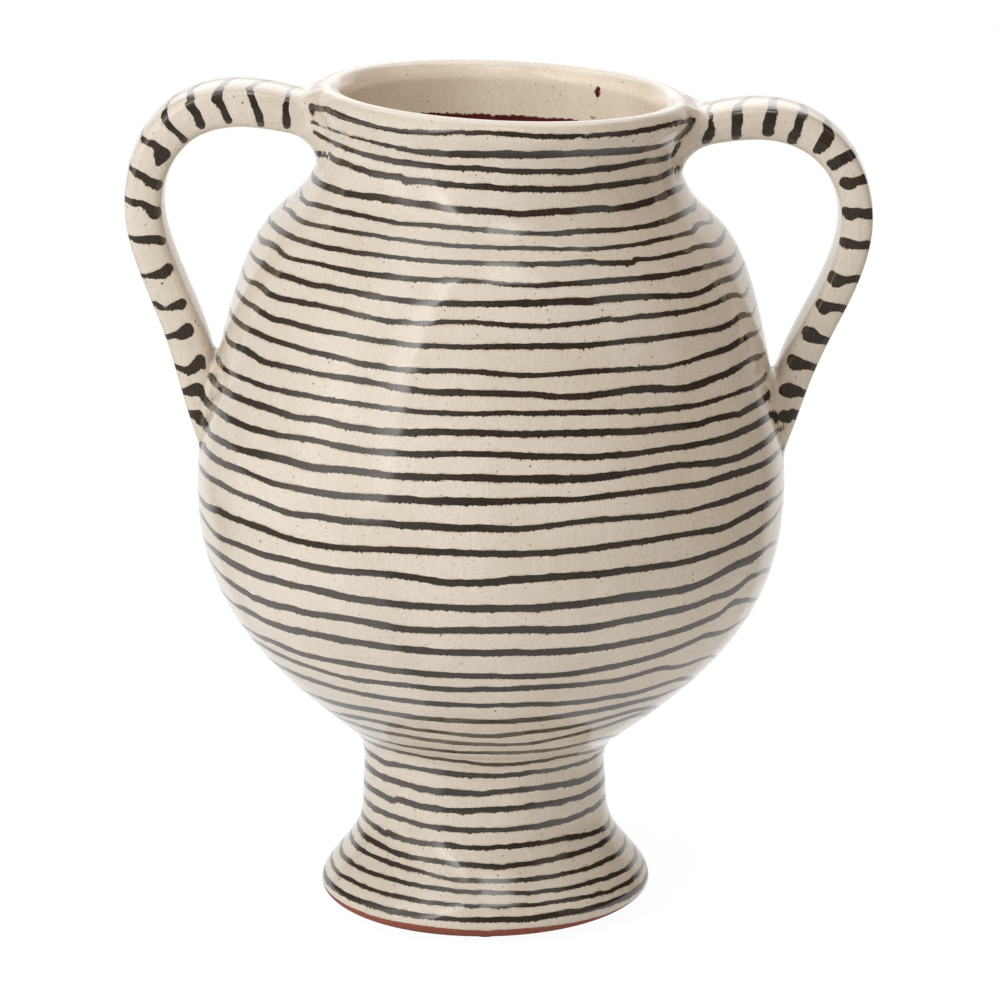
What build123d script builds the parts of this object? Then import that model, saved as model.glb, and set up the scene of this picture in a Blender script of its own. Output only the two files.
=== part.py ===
# A footed jar of glazed earthenware with two strap handles, standing on four soft pads.
# Lengths are in millimetres. +Z is up, +X runs out through the right handle and -Y is the front.
# The origin is on the axis of the foot, on the surface that the jar stands on.
from build123d import *
import math
import os

# Soft pads stuck under the foot
pad_diameter = 9.5
pad_thickness = 2.0
pad_edge_radius = 0.5
pad_circle_radius = 38.8

# Foot, thrown by itself as a hollow stem with a thick turned-out roll at its base
waist_height = 62.8
waist_radius = 43.4
stem_radius = 42.6
stem_height = 42.0
foot_roll_radius = 57.7
foot_roll_height = 8.8
foot_seat_radius = 44.0
foot_bore_radius = 34.0
foot_bore_edge_radius = 1.5

# Body, thrown as one hollow wall
wall = 6.5
floor_thickness = 8.0
bowl_sink = 6.0
bowl_rise = 89.2
belly_radius = 101.8
shoulder_rise = 114.0
neck_radius = 62.2
neck_rise = 18.2
lip_radius = 60.1
lip_thickness = 10.5

# The fired body settled a little to the right on its foot
lean_degrees = 2.2

# Handles, pulled as straps and luted on
strap_width = 26.0
right_strap_thickness = 11.2
left_strap_thickness = 13.2
handle_root_drop = 8.0
handle_top_drop = 1.4
handle_bend_drop = 33.0
handle_overhang = 20.0
handle_tail_rise = 9.0
handle_bury = 9.0

# Bowl from the waist to the belly: (share of the way out, share of the way up)
bowl_shares = ((0.23, 0.105), (0.53, 0.28), (0.84, 0.55), (0.95, 0.73))
# Shoulder from the belly to the neck: (share of the way in, share of the way up)
shoulder_shares = ((0.14, 0.35), (0.34, 0.625), (0.62, 0.81), (0.87, 0.895))
# Places along the outside that the inside of the wall faces
inner_wall_shares = (0.24, 0.34, 0.44, 0.54, 0.64, 0.73, 0.80, 0.86, 0.92)
# The foot's roll: (share of the way out, share of the way up), under it and over it
roll_under_shares = ((0.74, 0.34),)
roll_over_shares = ((0.76, 0.23), (0.14, 0.62))
# Each handle was bent by hand, so each has its own line.
# The rise: (share of the way out from the neck to the bend, share of the way down to the bend)
right_rise_shares = ((0.225, 0.03), (0.50, 0.00), (0.81, 0.25))
left_rise_shares = ((0.23, 0.07), (0.50, 0.04), (0.80, 0.26))
# The fall: (share of the way in from the bend to the belly, share of the way down to the tail)
right_fall_shares = ((0.29, 0.30), (0.84, 0.575), (1.12, 0.77))
left_fall_shares = ((0.32, 0.30), (0.83, 0.575), (1.09, 0.77))
# Strap sections: (share along the strap, share of its width, share of its thickness)
strap_section_shares = (
    (0.00, 1.56, 1.70),
    (0.05, 1.34, 1.40),
    (0.10, 1.10, 1.06),
    (0.16, 1.02, 1.04),
    (0.24, 1.00, 1.08),
    (0.34, 1.00, 1.06),
    (0.45, 0.98, 0.97),
    (0.56, 0.95, 0.97),
    (0.67, 0.93, 0.98),
    (0.78, 0.93, 1.01),
    (0.89, 0.98, 0.99),
    (1.00, 1.06, 0.94),
)
# The rounding of a strap's edges, as a share of its thickness there
strap_edge_share = 0.33
# Where the round bead of the lip starts outside and ends inside, counted from level outwards
bead_start_degrees = -30.0
bead_end_degrees = 200.0

# Heights that follow from the sizes above
bowl_base = waist_height - bowl_sink
belly_height = waist_height + bowl_rise
neck_height = belly_height + shoulder_rise
lip_height = neck_height + neck_rise
handle_top = lip_height - handle_top_drop
handle_bend = lip_height - handle_bend_drop
handle_tail = belly_height + handle_tail_rise
handle_reach = belly_radius + handle_overhang


def between(start, end, share_x, share_y):
    """A point part of the way from start to end, by its own share in each direction."""
    return (start[0] + share_x * (end[0] - start[0]), start[1] + share_y * (end[1] - start[1]))


def flowing(points, start_heading, end_heading):
    """A smooth line through points that leaves and arrives along given headings."""
    return Spline(points, tangents=(start_heading, end_heading), tangent_scalars=(1, 1))


def bead_point(degrees):
    """A point on the lip's bead, as (radius, height)."""
    angle = math.radians(degrees)
    half = lip_thickness / 2
    return (lip_radius + half * math.cos(angle), lip_height + half * math.sin(angle))


def bead_heading(degrees):
    """Which way the bead runs there, up outside and down inside."""
    angle = math.radians(degrees)
    return (-math.sin(angle), math.cos(angle))


def one_wall_in(line, share):
    """The point of the inside that faces a place on an outside line."""
    place = line @ share
    heading = line % share
    return (place.X - wall * heading.Y, place.Y + wall * heading.X)


def outer_line():
    """The outside, from the axis under the bowl, out over the belly and shoulder, to the lip's bead."""
    waist = (waist_radius, waist_height)
    belly = (belly_radius, belly_height)
    neck = (neck_radius, neck_height)
    points = [(0, bowl_base), waist]
    points += [between(waist, belly, out, up) for out, up in bowl_shares]
    points.append(belly)
    points += [between(belly, neck, way_in, up) for way_in, up in shoulder_shares]
    points += [neck, bead_point(bead_start_degrees)]
    return flowing(points, (1, 0), bead_heading(bead_start_degrees))


def bead_line(end_degrees):
    """The round bead of the lip, from the outside up and over."""
    sweep = end_degrees - bead_start_degrees
    return CenterArc((lip_radius, lip_height), lip_thickness / 2, bead_start_degrees, sweep)


def inner_line(outside):
    """The inside, from the lip's bead down to the middle of the floor."""
    points = [bead_point(bead_end_degrees)]
    points += [one_wall_in(outside, share) for share in reversed(inner_wall_shares)]
    points.append((0, bowl_base + floor_thickness))
    return flowing(points, bead_heading(bead_end_degrees), (-1, 0))


def thrown(lines):
    """Turn a closed outline of (radius, height) lines about the wheel's axis, from the back round."""
    edges = [edge for line in lines for edge in line.edges()]
    return revolve(Plane.YZ * make_face(Wire(edges)), Axis.Z)


def leaned(solid):
    """Lean a piece of the body to the right, about the middle of the waist."""
    return solid.rotate(Axis((0, 0, waist_height), (0, 1, 0)), lean_degrees)


def filled_body():
    """Everything within the body's outside, up to the top of the lip."""
    bead = bead_line(90)
    crest = bead @ 1
    top = (0, crest.Y)
    return thrown([outer_line(), bead, Line(crest, top), Line(top, (0, bowl_base))])


def body():
    """The thrown body, with an even wall and an open mouth."""
    outside = outer_line()
    floor = Line((0, bowl_base + floor_thickness), (0, bowl_base))
    return thrown([outside, bead_line(bead_end_degrees), inner_line(outside), floor])


def foot(outside_of_body):
    """The hollow foot, with its top cut to seat against the bowl."""
    seat = (foot_seat_radius, pad_thickness)
    roll = (foot_roll_radius, foot_roll_height)
    stem = (stem_radius, stem_height)
    under = [seat] + [between(seat, roll, out, up) for out, up in roll_under_shares] + [roll]
    over = [roll] + [between(stem, roll, out, 1 - up) for out, up in roll_over_shares] + [stem]
    waist = (waist_radius, waist_height)
    inside_bowl = (waist_radius, waist_height + bowl_sink)
    bore_top = (foot_bore_radius, waist_height + bowl_sink)
    bore_bottom = (foot_bore_radius, pad_thickness)
    ring = thrown(
        [
            flowing(under, (1, 0), (0, 1)),
            flowing(over, (0, 1), (0, 1)),
            flowing([stem, waist], (0, 1), (0, 1)),
            Polyline(waist, inside_bowl, bore_top, bore_bottom, seat),
        ]
    )
    bore_edge = ring.edges().filter_by(GeomType.CIRCLE).group_by(Axis.Z)[0].sort_by(SortBy.RADIUS)[0]
    return fillet(bore_edge, foot_bore_edge_radius) - outside_of_body


def strap_path(side, rise_shares, fall_shares):
    """The middle line of a handle, from inside the neck's wall to inside the belly's wall."""
    neck = (neck_radius, handle_top)
    bend = (handle_reach, handle_bend)
    tail = (belly_radius, handle_tail)
    root = (neck_radius - handle_bury, lip_height - handle_root_drop)
    points = [root]
    points += [between(neck, bend, out, down) for out, down in rise_shares]
    points.append(bend)
    points += [between(bend, tail, way_in, down) for way_in, down in fall_shares]
    points.append((belly_radius - handle_bury, handle_tail))
    return Spline([(side * x, 0, z) for x, z in points])


def strap(path, thickness):
    """A pulled strap whose section swells where it is pressed on."""
    sections = []
    for along, wide, thick in strap_section_shares:
        across = Plane(origin=path @ along, x_dir=(0, 1, 0), z_dir=path % along)
        depth = thickness * thick
        outline = RectangleRounded(strap_width * wide, depth, strap_edge_share * depth)
        sections.append(across * outline)
    return loft(sections)


def pad(turn_degrees):
    """A soft pad under the foot, at an angle round from the front."""
    disc = Cylinder(pad_diameter / 2, pad_thickness, align=(Align.CENTER, Align.CENTER, Align.MIN))
    bottom_edge = disc.edges().group_by(Axis.Z)[0]
    return Rot(0, 0, turn_degrees) * Pos(0, -pad_circle_radius, 0) * fillet(bottom_edge, pad_edge_radius)


def pieces():
    """Every piece of the jar, by name."""
    filled = filled_body()
    right_strap = strap(strap_path(1, right_rise_shares, right_fall_shares), right_strap_thickness)
    left_strap = strap(strap_path(-1, left_rise_shares, left_fall_shares), left_strap_thickness)
    made = {
        "vessel_body": leaned(body()),
        "pedestal_foot": foot(leaned(filled)),
        "handle_right": leaned(right_strap - filled),
        "handle_left": leaned(left_strap - filled),
    }
    for turn, place in enumerate(("front", "right", "back", "left")):
        made["foot_pad_" + place] = pad(90 * turn)
    return made


os.makedirs("parts", exist_ok=True)
for name, piece in pieces().items():
    piece.label = name
    export_step(piece, "parts/" + name + ".step")
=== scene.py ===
import math
from functools import partial

import bmesh
import bpy
import numpy as np
from mathutils import Matrix


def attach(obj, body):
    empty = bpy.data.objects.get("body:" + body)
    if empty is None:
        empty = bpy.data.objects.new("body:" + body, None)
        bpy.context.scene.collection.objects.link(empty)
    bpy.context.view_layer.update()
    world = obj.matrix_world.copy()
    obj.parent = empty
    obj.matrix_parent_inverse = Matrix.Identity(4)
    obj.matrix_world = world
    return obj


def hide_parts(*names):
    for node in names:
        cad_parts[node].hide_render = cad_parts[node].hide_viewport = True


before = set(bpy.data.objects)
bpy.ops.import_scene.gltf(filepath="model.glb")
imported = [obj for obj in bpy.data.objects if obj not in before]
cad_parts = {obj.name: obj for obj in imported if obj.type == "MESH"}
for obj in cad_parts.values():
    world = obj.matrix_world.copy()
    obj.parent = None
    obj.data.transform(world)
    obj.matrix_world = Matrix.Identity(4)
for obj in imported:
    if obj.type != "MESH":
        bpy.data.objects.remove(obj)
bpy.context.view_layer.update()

MM = 0.001
SCENE = bpy.context.scene

# Sizes of the jar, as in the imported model
WAIST_HEIGHT, WAIST_RADIUS = 62.8, 43.4
STEM_HEIGHT, STEM_RADIUS = 42.0, 42.6
ROLL_HEIGHT, ROLL_RADIUS = 8.8, 57.7
SEAT_HEIGHT, SEAT_RADIUS = 2.0, 44.0
BORE_RADIUS, BORE_EDGE = 34.0, 1.5
WALL, FLOOR = 6.5, 8.0
BOWL_BASE = WAIST_HEIGHT - 6.0
BELLY_HEIGHT, BELLY_RADIUS = 152.0, 101.8
NECK_HEIGHT, NECK_RADIUS = 266.0, 62.2
LIP_HEIGHT, LIP_RADIUS = 284.2, 60.1
LIP_HALF = 5.25
LEAN = math.radians(2.2)
# The mouth was squeezed a little further over when the handles went on
RIM_TILT = math.radians(0.85)
RIM_TILT_FROM, RIM_TILT_TO = 240.0, 280.0

BOWL_SHARES = ((0.23, 0.105), (0.53, 0.28), (0.84, 0.55), (0.95, 0.73))
SHOULDER_SHARES = ((0.14, 0.35), (0.34, 0.625), (0.62, 0.81), (0.87, 0.895))
INNER_SHARES = (0.24, 0.34, 0.44, 0.54, 0.64, 0.73, 0.80, 0.86, 0.92)
BEAD_FROM, BEAD_TO = -30.0, 200.0
# The lip's crest, less a hair, where heights on the wall end
WALL_TOP = LIP_HEIGHT + LIP_HALF - 0.2
# The foot's roll over its base: (share of the way out, share of the way down from the stem)
ROLL_SHARES = ((0.76, 0.77), (0.14, 0.38))
# The glaze fillet at the waist, out and up from the waist; its end lies inside the bowl's wall
FILLET_POINTS = ((-0.1, -3.4), (2.6, 0.7), (6.5, 4.6))

RIGHT, LEFT = 1, -1
STRAP_WIDTH, STRAP_EDGE = 26.0, 0.31
STRAP_THICKNESS = {RIGHT: 11.2, LEFT: 13.2}
HANDLE_TOP, HANDLE_BEND, HANDLE_TAIL = 282.8, 251.2, 161.0
HANDLE_REACH = {RIGHT: 122.2, LEFT: 121.2}
HANDLE_BURY, HANDLE_ROOT = 9.0, 276.2
RISE_SHARES = {
    RIGHT: ((0.225, 0.03), (0.50, 0.00), (0.81, 0.25)),
    LEFT: ((0.235, 0.075), (0.50, 0.05), (0.81, 0.27)),
}
FALL_SHARES = {
    RIGHT: ((0.29, 0.30), (0.835, 0.575), (1.115, 0.77)),
    LEFT: ((0.30, 0.30), (0.82, 0.575), (1.09, 0.77)),
}
# Strap sections: share along the strap, share of its width, share of its thickness
STRAP_SHARES = (
    (0.00, 1.08, 1.14),
    (0.10, 1.04, 0.98),
    (0.16, 1.02, 1.04),
    (0.24, 1.00, 1.08),
    (0.34, 1.00, 1.06),
    (0.45, 0.98, 0.97),
    (0.56, 0.95, 0.97),
    (0.67, 0.93, 0.98),
    (0.78, 0.93, 1.01),
    (0.89, 0.98, 0.98),
    (1.00, 1.06, 0.93),
)

# The photographer's view
CAMERA_PLACE = (6.49, -1850.0, 609.4)
CAMERA_PITCH, CAMERA_ROLL = 14.09, -0.578
CAMERA_PULL, PHOTO_WIDTH = 5493.0, 1000.0
# Pixels to a millimetre at the jar
PICTURE_SCALE = 2.93

# Brushwork
# Lines round the jar, read off the photo: how many pixels thick each is at the front, then the points it runs
# through (across, down), some with their own thickness
LINES = (
    (4.8, (311, 106, 6), (325, 109, 6), (340, 114.5, 6), (372, 124.5), (400, 130.5), (430, 132), (460, 131),
     (500, 132.5), (520, 134.5), (580, 135), (640, 130), (674, 125, 4), (683, 121.5, 4), (693, 118.5, 4.5)),
    (7.0, (313, 121.5, 4.5), (319, 124, 2.6), (340, 132, 2.2), (370, 140, 3.6), (400, 148, 4.4),
     (430, 151.5, 6), (460, 153), (520, 153.5), (580, 152.5), (640, 148.5), (660, 145.5, 4),
     (672, 140.5, 4), (681, 134.5, 5), (689, 127, 6), (693.5, 119, 5)),
    (5.8, (315, 131, 4), (321, 135.5, 3.6), (330, 140, 4), (340, 145, 4.4), (400, 161), (460, 167),
     (520, 170), (580, 170), (640, 162), (664, 157), (673, 154, 4), (676, 148, 5), (679.5, 142, 4)),
    (6.3, (317, 152.5), (328, 154.5), (338, 160), (400, 177.5), (460, 184), (520, 188), (580, 187),
     (640, 180.5), (660, 176), (672, 170), (684, 166.5, 5)),
    (6.6, (311, 172, 4), (315, 180, 5), (322, 184.5), (340, 190.5), (400, 200), (460, 208.5), (520, 212),
     (580, 209.5), (640, 203), (662, 195.5), (675, 192.5), (684, 187.5, 4)),
    (4.4, (302, 187, 2.5), (301, 195, 3), (309, 202), (322, 206, 5.4), (340, 210, 5.4), (400, 222),
     (460, 227, 5), (520, 232), (580, 231, 5), (640, 226, 5), (680, 214, 6), (690, 208.5, 6),
     (697, 203, 3)),
    (4.2, (284, 201, 3), (287, 208), (293, 214), (301, 220), (320, 225), (340, 229), (400, 239), (460, 245),
     (520, 247.5), (580, 248), (640, 243), (680, 234), (690, 231), (699, 223.5), (708, 222, 4),
     (711, 213, 3)),
    (4.8, (270, 217, 3), (273, 225), (283, 231), (300, 239.5), (340, 249), (400, 257), (460, 262),
     (520, 263), (580, 262), (640, 259.5), (680, 252), (700, 246), (712, 244), (719, 240.5), (723, 230, 3)),
    (5.2, (260, 232, 3), (263, 240), (274, 245.5), (284, 253.5), (290, 256.5), (310, 261.5), (340, 268),
     (400, 277), (460, 280), (520, 283.5), (580, 282), (640, 277.5), (680, 271.5), (700, 266.5), (720, 262),
     (729, 259.5), (735, 250, 3)),
    (6.2, (251, 247, 3), (254, 257, 4), (263, 263.5), (270, 268.5), (290, 276.5), (310, 282.5),
     (340, 288.5), (400, 299.5), (460, 302.5), (520, 302.5), (580, 300), (640, 296), (680, 294.5),
     (698, 292), (712, 285), (724, 279), (735, 275), (741, 267, 3)),
    (5.0, (243, 266, 3), (246, 277, 4), (252, 281.5), (261, 286, 6), (268, 292, 6), (280, 297),
     (310, 303.5), (340, 309.5), (400, 321.5), (428, 322.5), (452, 321.5), (520, 325), (580, 322.5),
     (640, 316), (680, 311.5), (700, 307.5), (720, 300), (735, 294.5), (743, 295, 4), (748, 288, 3)),
    (5.6, (236, 287, 3), (240, 295.5), (246, 301.5), (260, 310), (271, 317), (290, 322), (310, 327.5),
     (340, 333), (400, 343), (460, 346), (520, 345.5), (580, 345), (640, 339), (680, 334.5), (700, 331),
     (720, 327.5), (733, 321), (743, 314.5), (752, 313.5, 4), (755, 307, 3)),
    (5.4, (229, 308, 3), (234, 317), (240, 323.5), (250, 329.5), (270, 338), (290, 345), (310, 350.5),
     (340, 357), (400, 369), (460, 370), (520, 374.5), (580, 371.5), (640, 368), (680, 363.5), (700, 357),
     (715, 351.5), (730, 346.5), (742, 339), (750, 334.5), (760, 330, 3.5)),
    (6.4, (225, 329, 2.5), (226.5, 338, 4), (240, 347), (250, 352.5), (260, 359), (275, 364), (300, 369),
     (310, 371.5), (340, 376.5), (400, 387), (460, 391.5), (520, 394), (580, 395), (640, 388.5),
     (680, 387.5), (700, 383.5), (715, 377), (730, 371), (742, 364.5), (754, 357), (763, 354, 4)),
    (5.2, (217, 356, 4), (221, 364), (228, 371), (240, 376.5), (250, 380.5), (270, 387.5), (290, 392),
     (310, 395.5), (340, 400.5), (400, 409), (460, 413), (520, 412), (580, 412), (640, 410), (680, 407),
     (700, 403.5), (720, 397.5), (740, 391.5), (752, 386), (760, 380), (768, 379, 4)),
    (6.8, (210.5, 375), (215, 382), (222, 388), (230, 393), (240, 398), (260, 405), (280, 411.5),
     (293, 416), (310, 418), (340, 424), (400, 431.5), (460, 431.5), (520, 433), (580, 432), (640, 430),
     (680, 426), (700, 423), (716, 417.5), (730, 415), (745, 409.5), (757, 403.5), (768, 394)),
    (6.4, (201, 393), (207, 401), (213, 408), (220, 413.5), (240, 423.5), (260, 430.5), (290, 436),
     (310, 439), (340, 445.5), (400, 453), (460, 453), (520, 455), (580, 456), (640, 452), (690, 444.5),
     (710, 441), (730, 435.5), (748, 428), (760, 421), (769, 415.5, 8), (774, 416, 9)),
    (7.2, (202, 418, 5), (207, 427), (220, 438.5), (230, 445), (240, 448.5), (260, 453.5), (290, 460.5),
     (310, 466), (340, 469), (400, 475.5), (460, 476.5), (520, 478), (580, 478), (640, 470.5), (690, 463.5),
     (710, 462), (725, 460), (740, 456), (750, 451), (760, 445.5), (769, 438), (775, 431, 4.5),
     (783, 427, 3)),
    (6.6, (202, 444), (210, 451), (220, 458.5), (230, 465.5), (250, 473), (270, 481.5), (290, 486.5),
     (310, 490), (340, 495), (400, 498), (460, 501), (520, 500), (580, 498), (640, 491), (690, 485),
     (705, 482.5), (720, 477.5), (735, 473), (750, 468.5), (762, 462), (775, 455, 4), (782, 447, 3)),
    (6.2, (204, 472), (211, 477.5), (220, 482.5), (230, 488.5), (250, 497.5), (270, 505), (290, 512.5),
     (310, 515), (340, 519), (400, 524), (460, 527), (520, 528), (580, 521), (640, 516), (690, 510),
     (710, 504.5), (730, 499), (750, 491), (765, 484.5), (775, 477.5, 4), (781, 470, 3)),
    (6.4, (203, 502), (211, 507.5), (220, 511), (240, 520), (250, 523.5), (270, 531), (290, 538),
     (310, 542.5), (340, 546.5), (400, 549.5), (460, 552), (520, 553), (580, 549), (640, 541), (690, 533),
     (710, 529.5), (725, 526), (740, 519), (750, 513.5), (765, 505), (779, 495, 4)),
    (6.6, (205, 521), (211, 529), (220, 537), (230, 541.5), (250, 549.5), (265, 554.5), (290, 560),
     (310, 565.5), (340, 570), (400, 575), (460, 582), (520, 579), (580, 574.5), (640, 568), (690, 560),
     (710, 553.5), (730, 546), (750, 537), (762, 528.5), (775, 516, 4), (779, 510, 3)),
    (7.4, (206, 542, 5), (215, 551), (225, 559), (240, 567), (255, 574), (275, 579.5), (290, 583.5),
     (310, 588), (340, 595), (400, 604), (460, 607), (520, 607.5), (580, 603), (640, 595), (690, 586.5),
     (710, 578.5), (730, 567.5), (742, 562), (755, 556), (768, 546, 4.5), (779, 537, 3)),
    (6.8, (217, 570, 4), (222, 576, 5), (230, 582.5), (240, 589.5), (250, 595), (270, 603), (290, 608),
     (310, 612.5), (340, 617), (400, 627.5), (460, 630), (520, 629), (580, 628), (640, 617), (690, 606),
     (710, 599), (730, 591.5), (740, 585), (746, 579.5), (758, 573, 4.5), (773, 560, 3)),
    (6.4, (229, 599, 4), (236, 605, 5), (247, 610.5), (265, 620), (280, 625.5), (295, 630), (310, 633.5),
     (340, 639), (400, 648), (460, 652), (520, 652), (580, 649.5), (640, 639.5), (690, 626.5), (710, 617.5),
     (722, 611), (730, 604), (742, 600, 4.5), (762, 588, 3)),
    (5.4, (240, 621, 3), (247, 628, 4), (257, 634.5), (270, 640), (283, 646), (295, 651), (310, 655.5),
     (340, 662), (400, 670.5), (460, 675), (520, 676), (580, 672), (640, 659.5), (690, 642), (702, 636.5),
     (718, 633), (730, 628, 3.5), (742, 620, 2.5)),
    (4.8, (254, 640, 3), (263, 646, 4), (275, 652), (290, 659), (340, 675.5), (400, 684.5), (460, 689),
     (520, 688), (580, 684), (640, 674), (658, 668.5), (672, 667, 4), (690, 663, 4), (703, 658, 3),
     (716, 652, 2.5)),
    (4.7, (290, 671), (340, 688), (370, 695), (410, 701), (450, 704), (490, 705), (530, 704), (570, 702.5),
     (610, 697), (640, 691.5), (660, 685, 4), (680, 679, 3.5), (697, 671, 2.5)),
    (4.7, (340, 704), (370, 709.5), (410, 716), (450, 720), (490, 721), (530, 719.5), (570, 714.5),
     (610, 707.5), (640, 700.5), (658, 696, 3.5), (680, 687, 2.5)),
    (3.6, (340, 714), (370, 719.5), (410, 728), (450, 733), (490, 735.5), (530, 732), (570, 726.5),
     (610, 717), (640, 709), (660, 701.5, 2.5)),
    (3.5, (370, 728.5), (410, 736.5), (450, 742), (490, 744), (530, 743), (570, 735), (610, 724),
     (630, 717), (646, 712, 2.5)),
    (2.9, (370, 736.5), (410, 746.5), (450, 751), (490, 752.5), (530, 751.5), (570, 746), (606, 737),
     (620, 731.5, 2)),
    (3.2, (375, 744), (410, 753.5), (450, 760), (490, 764), (530, 762), (570, 755), (600, 748)),
    (4.8, (370, 753), (410, 767), (450, 772.5), (490, 775.5), (530, 772), (570, 765.5), (595, 756)),
    (6.0, (370, 768), (410, 785), (450, 792), (490, 792), (530, 788), (570, 782.5), (595, 773)),
    (5.8, (370, 787), (410, 803), (450, 809.5), (490, 809.5), (530, 805.5), (570, 799), (595, 788)),
    (5.3, (370, 804), (410, 821), (450, 828.5), (490, 829.5), (530, 826.5), (570, 818), (600, 802)),
    (5.1, (370, 822), (410, 840), (450, 845), (490, 847), (530, 843.5), (570, 837), (610, 818)),
    (5.1, (370, 838.5), (410, 856), (450, 862), (490, 866), (530, 862.5), (570, 854.5), (610, 836)),
    (4.3, (370, 854), (410, 868), (450, 878), (490, 880.5), (530, 878.5), (570, 872), (610, 858)),
    (4.3, (346, 858), (370, 871.5), (410, 883), (450, 889.5), (490, 892), (530, 892), (570, 886.5),
     (610, 876), (634, 860)),
    (4.1, (340, 873), (370, 888), (410, 898.5), (450, 903.5), (490, 905.5), (530, 904), (570, 899),
     (610, 890), (640, 870)),
    (5.8, (340, 891), (370, 904), (410, 913.5), (450, 918), (490, 919), (530, 917.5), (570, 911.5),
     (610, 902.5), (640, 886)),
)
BODY_LINES, FOOT_LINES = range(0, 32), range(32, 43)
# Lines whose ends run out over the luted clay where a handle's top or its tail joins the wall
TOP_LINES, TAIL_LINES = range(0, 5), range(14, 19)
# The columns of the photo between which those lines lie on the thrown wall itself
TOP_WALL, TAIL_WALL = (328, 672), (222, 757)
# The heights between which the body and the foot are searched for the marks, in mm
BODY_SPAN, FOOT_SPAN = (63.0, 289.0), (9.0, 66.0)
# How far round from the front, in radians: marks are sure up to the first, lines keep to them up to the
# second, run level from the third, and have their usual thickness from the fourth
SURE_UNTIL, READ_UNTIL, LEVEL_FROM, PLAIN_FROM = 1.15, 1.38, 1.58, 1.75
# The least distance in mm from one line to the next at the sides, on the body and on the foot
BODY_GAP, FOOT_GAP = 3.0, 2.6
# The ragged lower edge bites into a line, so each is drawn thicker than it was read, by this share
BRUSH_SPREAD = 0.02
# and lower, by a share of its half thickness, and by mm for the lines near the mouth and for the others
DROP_SHARE, DROP_NEAR_MOUTH, DROP_BELOW = 0.10, 0.22, 0.14
NEAR_MOUTH = range(0, 10)
# The same drop in the picture, in pixels
PICTURE_DROP = 0.5

# Dabs across the handles, read the same way from the outer side of the strap to its inner side:
# (across, down, half thickness) in pixels
LEFT_DABS = (
    ((297, 85, 1.2), (289, 90, 1.6), (288, 99, 2.2), (285.5, 109, 3.2), (286, 120, 4.0), (286, 126, 3.5)),
    ((266, 81, 2.4), (257, 83, 2.4), (250, 89, 3.4), (252, 98, 3.2), (256, 108, 3.4), (259, 116, 3.9),
     (260.5, 124, 4.0)),
    ((232, 78, 1.8), (226, 81, 3.0), (221, 88, 3.2), (216, 98, 4.6), (222, 107, 3.4), (225, 114, 3.7),
     (229, 121, 4.2)),
    ((196, 86, 2.6), (191, 91, 3.0), (191, 99, 3.0), (190, 105, 4.2), (196, 114, 4.0), (200, 122, 5.0),
     (201, 125, 4.4)),
    ((169, 101, 1.6), (166, 107, 2.4), (164.5, 116, 3.4), (166, 122, 3.0), (172, 128, 3.2), (178, 133, 2.6),
     (184, 140, 4.4)),
    ((141, 138, 2.2), (147, 142, 2.6), (154, 144, 3.0), (160, 150, 4.6), (164.5, 155, 6.4), (160, 160, 5.2)),
    ((156, 147, 2.4), (158, 163, 3.0)),
    ((131, 168, 2.0), (136, 172.5, 3.4), (144, 177.5, 3.6), (151, 182, 4.8), (158.5, 184.5, 5.8)),
    ((127, 201, 2.4), (134, 203, 3.6), (142, 204, 3.2), (149, 208, 4.2), (154.5, 212.5, 7.2),
     (157, 212, 6.6)),
    ((131, 237, 2.2), (138, 240, 3.8), (148, 240, 4.4), (158, 240, 5.0), (163, 240.5, 4.4)),
    ((141, 275, 2.2), (149, 275.5, 2.6), (156, 275, 4.0), (162, 273.5, 5.6), (168, 268.5, 5.6),
     (170, 268.5, 4.8)),
    ((156, 304, 2.6), (159.5, 307, 3.6), (165, 309, 2.2), (172, 307.5, 3.6), (179, 304, 4.8),
     (183, 302.5, 4.6)),
    ((167, 336.5, 3.0), (174, 336, 3.2), (181, 334, 6.0), (187, 331, 7.0), (188.5, 327.5, 4.8)),
    ((177, 366.5, 3.0), (183, 369.5, 3.2), (190, 370, 4.6), (196, 366.5, 6.0), (200, 361, 5.6),
     (204, 367, 3.0)),
    ((185, 392, 3.6), (192, 391, 6.0), (198, 389.5, 6.8), (200.5, 392, 5.0)),
    ((193, 414, 4.4), (198, 416, 6.4), (201, 421.5, 4.8)),
    ((195.5, 320.5, 1.2), (196.5, 321, 1.4)),
)
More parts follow.
